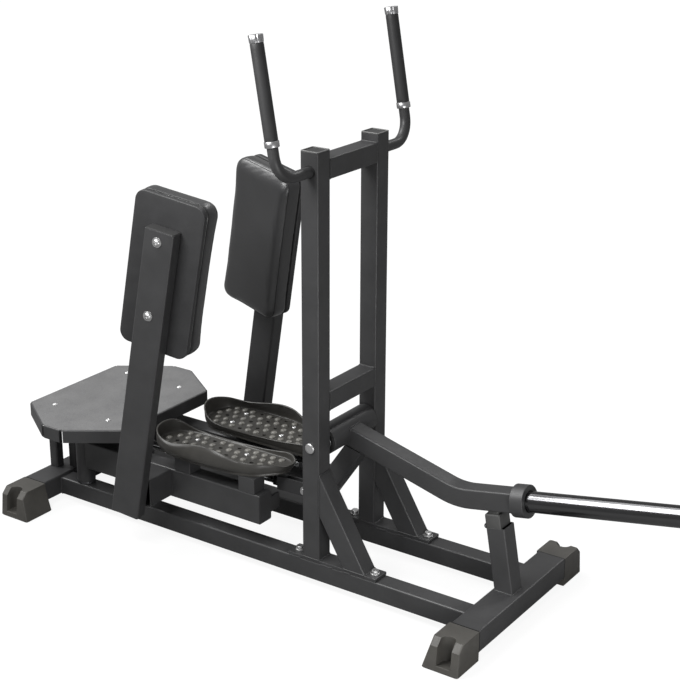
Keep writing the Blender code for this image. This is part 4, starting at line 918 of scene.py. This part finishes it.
def evened(mesh, steps, rounds):
    """Movements shared between neighbouring points, which takes the creases out."""
    for _ in range(rounds):
        sums = [step.copy() for step in steps]
        counts = [1] * len(steps)
        for edge in mesh.edges:
            a, b = edge.vertices
            sums[a] += steps[b]
            sums[b] += steps[a]
            counts[a] += 1
            counts[b] += 1
        steps = [total / count for total, count in zip(sums, counts)]
    return steps


def swell(item, cap):
    """Cloth filled with a little air, its movement capped, then made permanent."""
    context = bpy.context
    remesh = item.modifiers.new("even", "REMESH")
    remesh.mode = "VOXEL"
    remesh.voxel_size = 0.005
    settle(item, remesh)
    rest = [vertex.co.copy() for vertex in item.data.vertices]
    cloth = item.modifiers.new("cloth", "CLOTH")
    settings = cloth.settings
    settings.quality = 5
    settings.mass = 0.3
    settings.tension_stiffness = 25.0
    settings.compression_stiffness = 25.0
    settings.shear_stiffness = 8.0
    settings.bending_stiffness = 0.6
    settings.use_pressure = True
    settings.uniform_pressure_force = 4.0
    settings.effector_weights.gravity = 0.0
    cloth.collision_settings.use_collision = False
    cloth.point_cache.frame_start = 1
    cloth.point_cache.frame_end = 20
    for step in range(1, 21):
        context.scene.frame_set(step)
    shaped = item.evaluated_get(context.evaluated_depsgraph_get())
    moved = [vertex.co.copy() for vertex in shaped.to_mesh().vertices]
    shaped.to_mesh_clear()
    item.modifiers.remove(cloth)
    context.scene.frame_set(1)
    steps = evened(item.data, [end - start for start, end in zip(rest, moved)], 14)
    middle = sum(steps, Vector()) / len(steps)
    for vertex, start, step in zip(item.data.vertices, rest, steps):
        step = step - middle
        if step.length > cap:
            step = step.normalized() * cap
        vertex.co = start + step
    return item


def cord(line, radius):
    """Round cord along a closed line."""
    loops = []
    for index, place in enumerate(line):
        run = (line[(index + 1) % len(line)] - line[index - 1]).normalized()
        side = run.cross(Y).normalized()
        up = run.cross(side)
        loops.append([place + side * a + up * b for a, b in circle(radius, 8)])
    return stack(loops, closed=True)


def finish_cushion(name, turn, body, node):
    """Cushion as a piece of its own, swollen a little and softened."""
    item = swell(mesh_object(name, turn(cushion_shape)), 0.005)
    soft = item.modifiers.new("soften", "SUBSURF")
    soft.levels = 1
    soft.render_levels = 1
    settle(item, soft)
    finish_piece(item, VINYL, body, (node,), angle=80.0)
    return item


# Foot trays

TRAY_RIM = (
    (-137, 55, 278, -153, 53, 0), (-150, 41, 281, -162, 42, 0), (-166, 32, 282, -174, 36, 0),
    (-185, 28, 281, -190, 34, 0), (-215, 28, 277, -216, 34, 0), (-250, 28, 273, -250, 34, 0),
    (-300, 28, 270, -300, 34, 0), (-360, 28, 268, -360, 34, 0), (-420, 28, 268, -420, 34, 0),
    (-465, 30, 271, -463, 35, 0), (-495, 36, 280, -490, 41, 0), (-516, 48, 294, -508, 52, 0),
    (-529, 66, 302, -519, 69, 0), (-535, 88, 304, -523, 89, 0), (-535, 110, 303, -523, 108, 1),
    (-528, 130, 300, -515, 126, 3), (-511, 149, 296, -499, 142, 5), (-487, 161, 291, -477, 152, 8),
    (-455, 168, 289, -448, 158, 11), (-420, 170, 294, -416, 161, 12), (-385, 170, 301, -382, 161, 12),
    (-345, 170, 306, -345, 160, 12), (-310, 168, 304, -310, 158, 12), (-283, 163, 297, -281, 156, 10),
    (-260, 155, 289, -259, 152, 8), (-238, 147, 283, -238, 147, 6), (-216, 139, 280, -217, 140, 4),
    (-197, 127, 278, -199, 129, 3), (-183, 113, 276, -184, 114, 2), (-168, 98, 273, -171, 98, 1),
    (-150, 86, 271, -160, 83, 0), (-138, 71, 274, -153, 67, 0),
)
TRAY_BASE_Z = 245.0
TRAY_FLOOR_Z = 265.5
TRAY_BULGE_Z = 268.0


def curve(p, q, r, s, t):
    """Number on a smooth curve between q and r."""
    bend = (2 * p - 5 * q + 4 * r - s) * t * t
    return 0.5 * (2 * q + (r - p) * t + bend + (3 * q - p - 3 * r + s) * t * t * t)


def smooth_rows(rows, parts):
    """Closed smooth curve through rows of numbers."""
    result = []
    for index in range(len(rows)):
        near = [rows[(index + k) % len(rows)] for k in (-1, 0, 1, 2)]
        for part in range(parts):
            result.append([curve(*numbers, part / parts) for numbers in zip(*near)])
    return result


tray_rows = smooth_rows(TRAY_RIM, 6)


def tray_loop(share, bulge, height, inset=0.0, lift=0.0):
    """Outline of the tray between base and rim; below 1.5 the height is a share."""
    plan = []
    for x, y, _, base_x, base_y, extra in tray_rows:
        across = base_y + (y - base_y) * share + extra * bulge
        plan.append(at(base_x + (x - base_x) * share, -across, 0.0))
    count = len(plan)
    loop = []
    for index in range(count):
        run = plan[(index + 2) % count] - plan[index - 2]
        place = plan[index] + at(-run.y, run.x, 0.0).normalized() * inset
        level = height
        if height < 1.5:
            level = TRAY_BULGE_Z + (tray_rows[index][2] - TRAY_BULGE_Z) * height
        loop.append(at(place.x, place.y, level + lift))
    return loop


TRAY_SKIN = (
    (0.6, 0.8, TRAY_FLOOR_Z - 4.0, 6.0), (0.0, 0.0, TRAY_BASE_Z + 0.4, 4.0),
    (0.0, 0.0, TRAY_BASE_Z, 3.4), (0.0, 0.0, TRAY_BASE_Z, 1.2), (0.0, 0.0, TRAY_BASE_Z + 0.5, 0.3),
    (0.0, 0.0, TRAY_BASE_Z + 4.6, 0.0), (0.0, 0.0, TRAY_BASE_Z + 5.5, 0.4),
    (0.12, 0.15, TRAY_BASE_Z + 6.8, 0.8), (0.3, 0.36, TRAY_BASE_Z + 9.5),
    (0.45, 0.58, TRAY_BASE_Z + 12.5), (0.62, 0.82, TRAY_BASE_Z + 16.5),
    (0.76, 0.96, TRAY_BULGE_Z - 2.0), (0.83, 0.98, 0.15), (0.88, 0.88, 0.4), (0.93, 0.6, 0.7),
    (0.98, 0.2, 0.9, -0.4), (1.0, 0.0, 1.0, -0.6, -1.6), (1.0, 0.0, 1.0, 0.2, -0.2),
    (1.0, 0.0, 1.0, 1.4, 0.1), (1.0, 0.0, 1.0, 3.0, -0.2), (1.0, 0.0, 1.0, 3.9, -1.4),
    (0.98, 0.15, 0.86, 4.0), (0.93, 0.6, 0.6, 4.0), (0.88, 0.85, 0.35, 4.0), (0.82, 0.98, 0.1, 4.2),
    (0.8, 1.0, TRAY_FLOOR_Z + 1.4, 4.8), (0.8, 1.0, TRAY_FLOOR_Z + 0.4, 6.2),
    (0.8, 1.0, TRAY_FLOOR_Z, 8.5),
)
tray = stack([tray_loop(*row) for row in TRAY_SKIN])
NUBS = (
    (52, (-479, -452, -425, -371, -344, -290, -263, -236, -209, -182)),
    (78, (-493, -466, -412, -385, -331, -304, -250, -223, -196)),
    (104, (-508, -454, -427, -373, -346, -292, -265, -211)),
    (130, (-497, -470, -416, -389, -335, -308, -254)),
    (155, (-487, -460, -434, -377, -350, -293)),
)
HOLES = (
    (52, (-398, -317)),
    (78, (-358,)),
    (104, (-481, -400, -319, -238)),
    (130, (-362,)),
    (160, (-405, -324)),
)
TRAY_SCREWS = ((-439, 72), (-277, 73), (-443, 138), (-281, 137))
nub_profile = [(-0.6, 0), (-0.6, 9.4), (0.0, 8.9), (1.0, 8.6), (2.4, 8.0), (3.6, 6.6)]
nub_profile += [(4.4, 4.2), (4.7, 2.0), (4.8, 0)]
nubs = [turned(at(x, -y, TRAY_FLOOR_Z), Z, nub_profile, 24) for y, xs in NUBS for x in xs]
bore = [(-12.0, 0), (-12.0, 5.2), (-1.0, 5.2), (1.0, 6.6), (1.0, 0)]
bores = [turned(at(x, -y, TRAY_FLOOR_Z), Z, bore, 28) for y, xs in HOLES for x in xs]
screw_profile = [(0.0, 0), (0.0, 6.6), (0.8, 6.8), (2.0, 6.2), (3.0, 4.8), (3.5, 2.8), (2.4, 2.2), (2.0, 0)]


# Push rods and their joints

ROD_FRONT = at(-98.0, -56.2, 212.0)
ROD_REAR = at(-814.4, -56.2, 201.0)
rod_length = (ROD_FRONT - ROD_REAR).length
rod_run = (ROD_FRONT - ROD_REAR).normalized()
rod_bar = ring(ROD_REAR, rod_run, 17.0, rod_length - 88.3, 9.1, 9.5, 48)
rod_nut = ring(ROD_REAR, rod_run, rod_length - 102.0, rod_length - 90.0, 9.6, 14.0, 6)


# The two levers with their pads and trays

dome_profile = [(1.4, 0), (1.4, 8.4), (2.0, 8.9), (3.2, 8.4), (5.0, 6.8), (6.2, 4.6)]
dome_profile += [(6.6, 3.4), (4.4, 3.0), (4.0, 0)]


def seam(cushion, line):
    """Cord laid on the cushion along a line."""
    seat = []
    for place in line:
        _, spot, normal, _ = cushion.closest_point_on_mesh(world(place))
        seat.append(at(spot.x / MM - X_SHIFT, spot.y / MM, spot.z / MM) - normal * 0.3)
    return cord(seat, 1.1)


def drill_out(item, cutter):
    """The holes cut out of a piece, and the cutter removed."""
    drill = item.modifiers.new("holes", "BOOLEAN")
    drill.operation = "DIFFERENCE"
    drill.solver = "EXACT"
    drill.object = cutter
    settle(item, drill)
    bpy.data.objects.remove(cutter, do_unlink=True)


for side, turn in SIDES:
    lever = "lever_" + side
    rod = "push_rod_" + side
    sign = SIGN[side]
    shape = turn(join(lever_tube, lever_end))
    make("lever_steel_" + side, shape, PAINT, lever, ("lever_tube_" + side,), 0.5)
    make("cross_steel_" + side, turn(cross_piece), PAINT, lever, (), 0.4)
    make("risers_" + side, turn(join(*risers)), PAINT, lever, (), 0.8)
    make("stop_tab_" + side, turn(stop_tab), PAINT, lever, (), 0.8)
    dress("hinge_hub_" + side, PAINT, lever)
    make("post_steel_" + side, turn(pad_post), PAINT, lever, ("pad_post_" + side,), 0.5)
    make("post_end_" + side, turn(post_end), PAINT_TOP, lever, (), 0.6)
    smooth("pad_shell_" + side, turn(board), BOARD, lever, ("pad_board_" + side,), 60.0)
    out = at(-POST_W.x, sign * POST_W.y, 0.0)
    for label, along, nodes in (("low", 560.0, ("pad_fixing_" + side,)), ("high", 752.0, ())):
        place = post_point(38.0, 0.0, along)
        place = at(place.x, -sign * place.y, place.z)
        name = label + "_" + side
        washer(place, out, 12.5, 4.5, 1.8, "pad_washer_" + name, lever)
        dome = turned(place, out, dome_profile, 48)
        smooth("pad_bolt_" + name, dome, ZINC, lever, nodes)
    cushion = finish_cushion("pad_cushion_cloth_" + side, turn, lever, "pad_cushion_" + side)
    for label, depth, inset in (("front", 47.0, 4.0), ("back", 3.0, 5.5)):
        line = turn((resample(cushion_loop(depth, inset), 4.0), []))[0]
        name = "pad_seam_" + label + "_" + side
        smooth(name, seam(cushion, line), THREAD, lever, (), 80.0)
    tray_item = mesh_object("foot_tray_" + side, turn(tray))
    drill_out(tray_item, mesh_object("tray_cutter_" + side, turn(join(*bores))))
    finish_piece(tray_item, TRAY, lever, ("pedal_" + side,), angle=50.0)
    smooth("tray_nubs_" + side, turn(join(*nubs)), NUB, lever, (), 60.0)
    for index, (x, y) in enumerate(TRAY_SCREWS):
        shape = turned(at(x, sign * y, TRAY_FLOOR_Z - 0.2), Z, screw_profile, 32)
        smooth("tray_screw_" + str(index) + "_" + side, shape, ZINC, lever)
    dress(rod, PAINT, rod)
    make("rod_bar_" + side, turn(rod_bar), CHROME, rod, (), 0.3)
    make("rod_nut_" + side, turn(rod_nut), DARK_STEEL, rod, (), 0.5)

for body, shapes in beads.items():
    smooth("welds_" + body, join(*shapes), PAINT, body, (), 80.0)


# Floor, light and camera

FLOOR_GLOW = 0.85
FLOOR_BOUNCE = 0.22
FLOOR_REACH = 60.0
SKY = 0.27


def plain(tree, kind, colour, strength=None):
    """Output of a shader node of one colour."""
    node = tree.nodes.new(kind)
    node.inputs["Color"].default_value = (colour, colour, colour, 1.0)
    if strength is not None:
        node.inputs["Strength"].default_value = strength
    return node.outputs[0]


def mixed(tree, first, second):
    mix = tree.nodes.new("ShaderNodeMixShader")
    tree.links.new(first, mix.inputs[1])
    tree.links.new(second, mix.inputs[2])
    return mix


def by_camera(tree, output, others, seen):
    """The camera sees one shader, and all other rays meet the other one."""
    mix = mixed(tree, others, seen)
    path = tree.nodes.new("ShaderNodeLightPath")
    tree.links.new(path.outputs["Is Camera Ray"], mix.inputs["Fac"])
    tree.links.new(mix.outputs["Shader"], tree.nodes.new(output).inputs["Surface"])


def stage_material(name):
    """White floor with a faint shadow; it throws back light as a mid-grey one."""
    item = bpy.data.materials.new(name)
    item.use_nodes = True
    tree = item.node_tree
    tree.nodes.clear()
    pale = plain(tree, "ShaderNodeBsdfDiffuse", 0.9)
    seen = mixed(tree, pale, plain(tree, "ShaderNodeEmission", 1.0, 1.06))
    seen.inputs["Fac"].default_value = FLOOR_GLOW
    thrown = plain(tree, "ShaderNodeBsdfDiffuse", FLOOR_BOUNCE)
    by_camera(tree, "ShaderNodeOutputMaterial", thrown, seen.outputs["Shader"])
    return item


floor_corners = ((-1, -1), (1, -1), (1, 1), (-1, 1))
floor_points = [(x * FLOOR_REACH, y * FLOOR_REACH, 0.0) for x, y in floor_corners]
floor_mesh = bpy.data.meshes.new("floor")
floor_mesh.from_pydata(floor_points, [], [(0, 1, 2, 3)])
floor_mesh.materials.append(stage_material("floor_white"))
floor = linked("floor", floor_mesh)

sky = bpy.data.worlds.new("studio")
bpy.context.scene.world = sky
sky.use_nodes = True
tree = sky.node_tree
tree.nodes.clear()
soft = plain(tree, "ShaderNodeBackground", 1.0, SKY)
by_camera(tree, "ShaderNodeOutputWorld", soft, plain(tree, "ShaderNodeBackground", 1.0, 1.0))


def lamp(name, kind, place, target, energy):
    """Light that shines from a place towards a target."""
    data = bpy.data.lights.new(name, kind)
    data.energy = energy
    item = linked(name, data)
    item.location = place
    item.rotation_euler = (Vector(target) - Vector(place)).to_track_quat("-Z", "Y").to_euler()
    item.visible_camera = False
    return data


def sun(name, place, energy, spread):
    lamp(name, "SUN", place, (0.0, 0.0, 0.0), energy).angle = math.radians(spread)


def panel(name, place, target, energy, width, height):
    data = lamp(name, "AREA", place, target, energy)
    data.shape = "RECTANGLE"
    data.size = width
    data.size_y = height


sun("key_above", (-2.6, -0.45, 3.6), 1.85, 50.0)
sun("streak_above", (-2.6, -0.9, 3.6), 0.8, 14.0)
sun("edge_above", (0.2, 2.6, 2.7), 0.6, 12.0)
panel("side_light", (-0.35, -1.2, 1.75), (-0.15, -0.15, 0.75), 23.0, 0.8, 0.6)
panel("front_light", (1.3, -1.0, 0.3), (0.46, -0.15, 0.05), 10.0, 0.7, 0.5)

camera_data = bpy.data.cameras.new("camera")
camera_data.sensor_width = 36.0
camera_data.sensor_fit = "HORIZONTAL"
camera_data.lens = 1537.93 / 680.0 * 36.0
camera = linked("camera", camera_data)
azimuth = math.radians(34.66)
elevation = math.radians(19.95)
roll = math.radians(0.14)
flat = math.cos(elevation)
forward = at(-math.sin(azimuth) * flat, math.cos(azimuth) * flat, -math.sin(elevation))
level_right = at(math.cos(azimuth), math.sin(azimuth), 0.0)
level_up = level_right.cross(forward)
view_right = level_right * math.cos(roll) + level_up * math.sin(roll)
view_up = level_up * math.cos(roll) - level_right * math.sin(roll)
turn_matrix = Matrix((view_right, view_up, -forward)).transposed().to_4x4()
camera.matrix_world = Matrix.Translation((1.97738, -2.88363, 1.87632)) @ turn_matrix
bpy.context.scene.camera = camera
bpy.context.scene.view_settings.view_transform = "Standard"
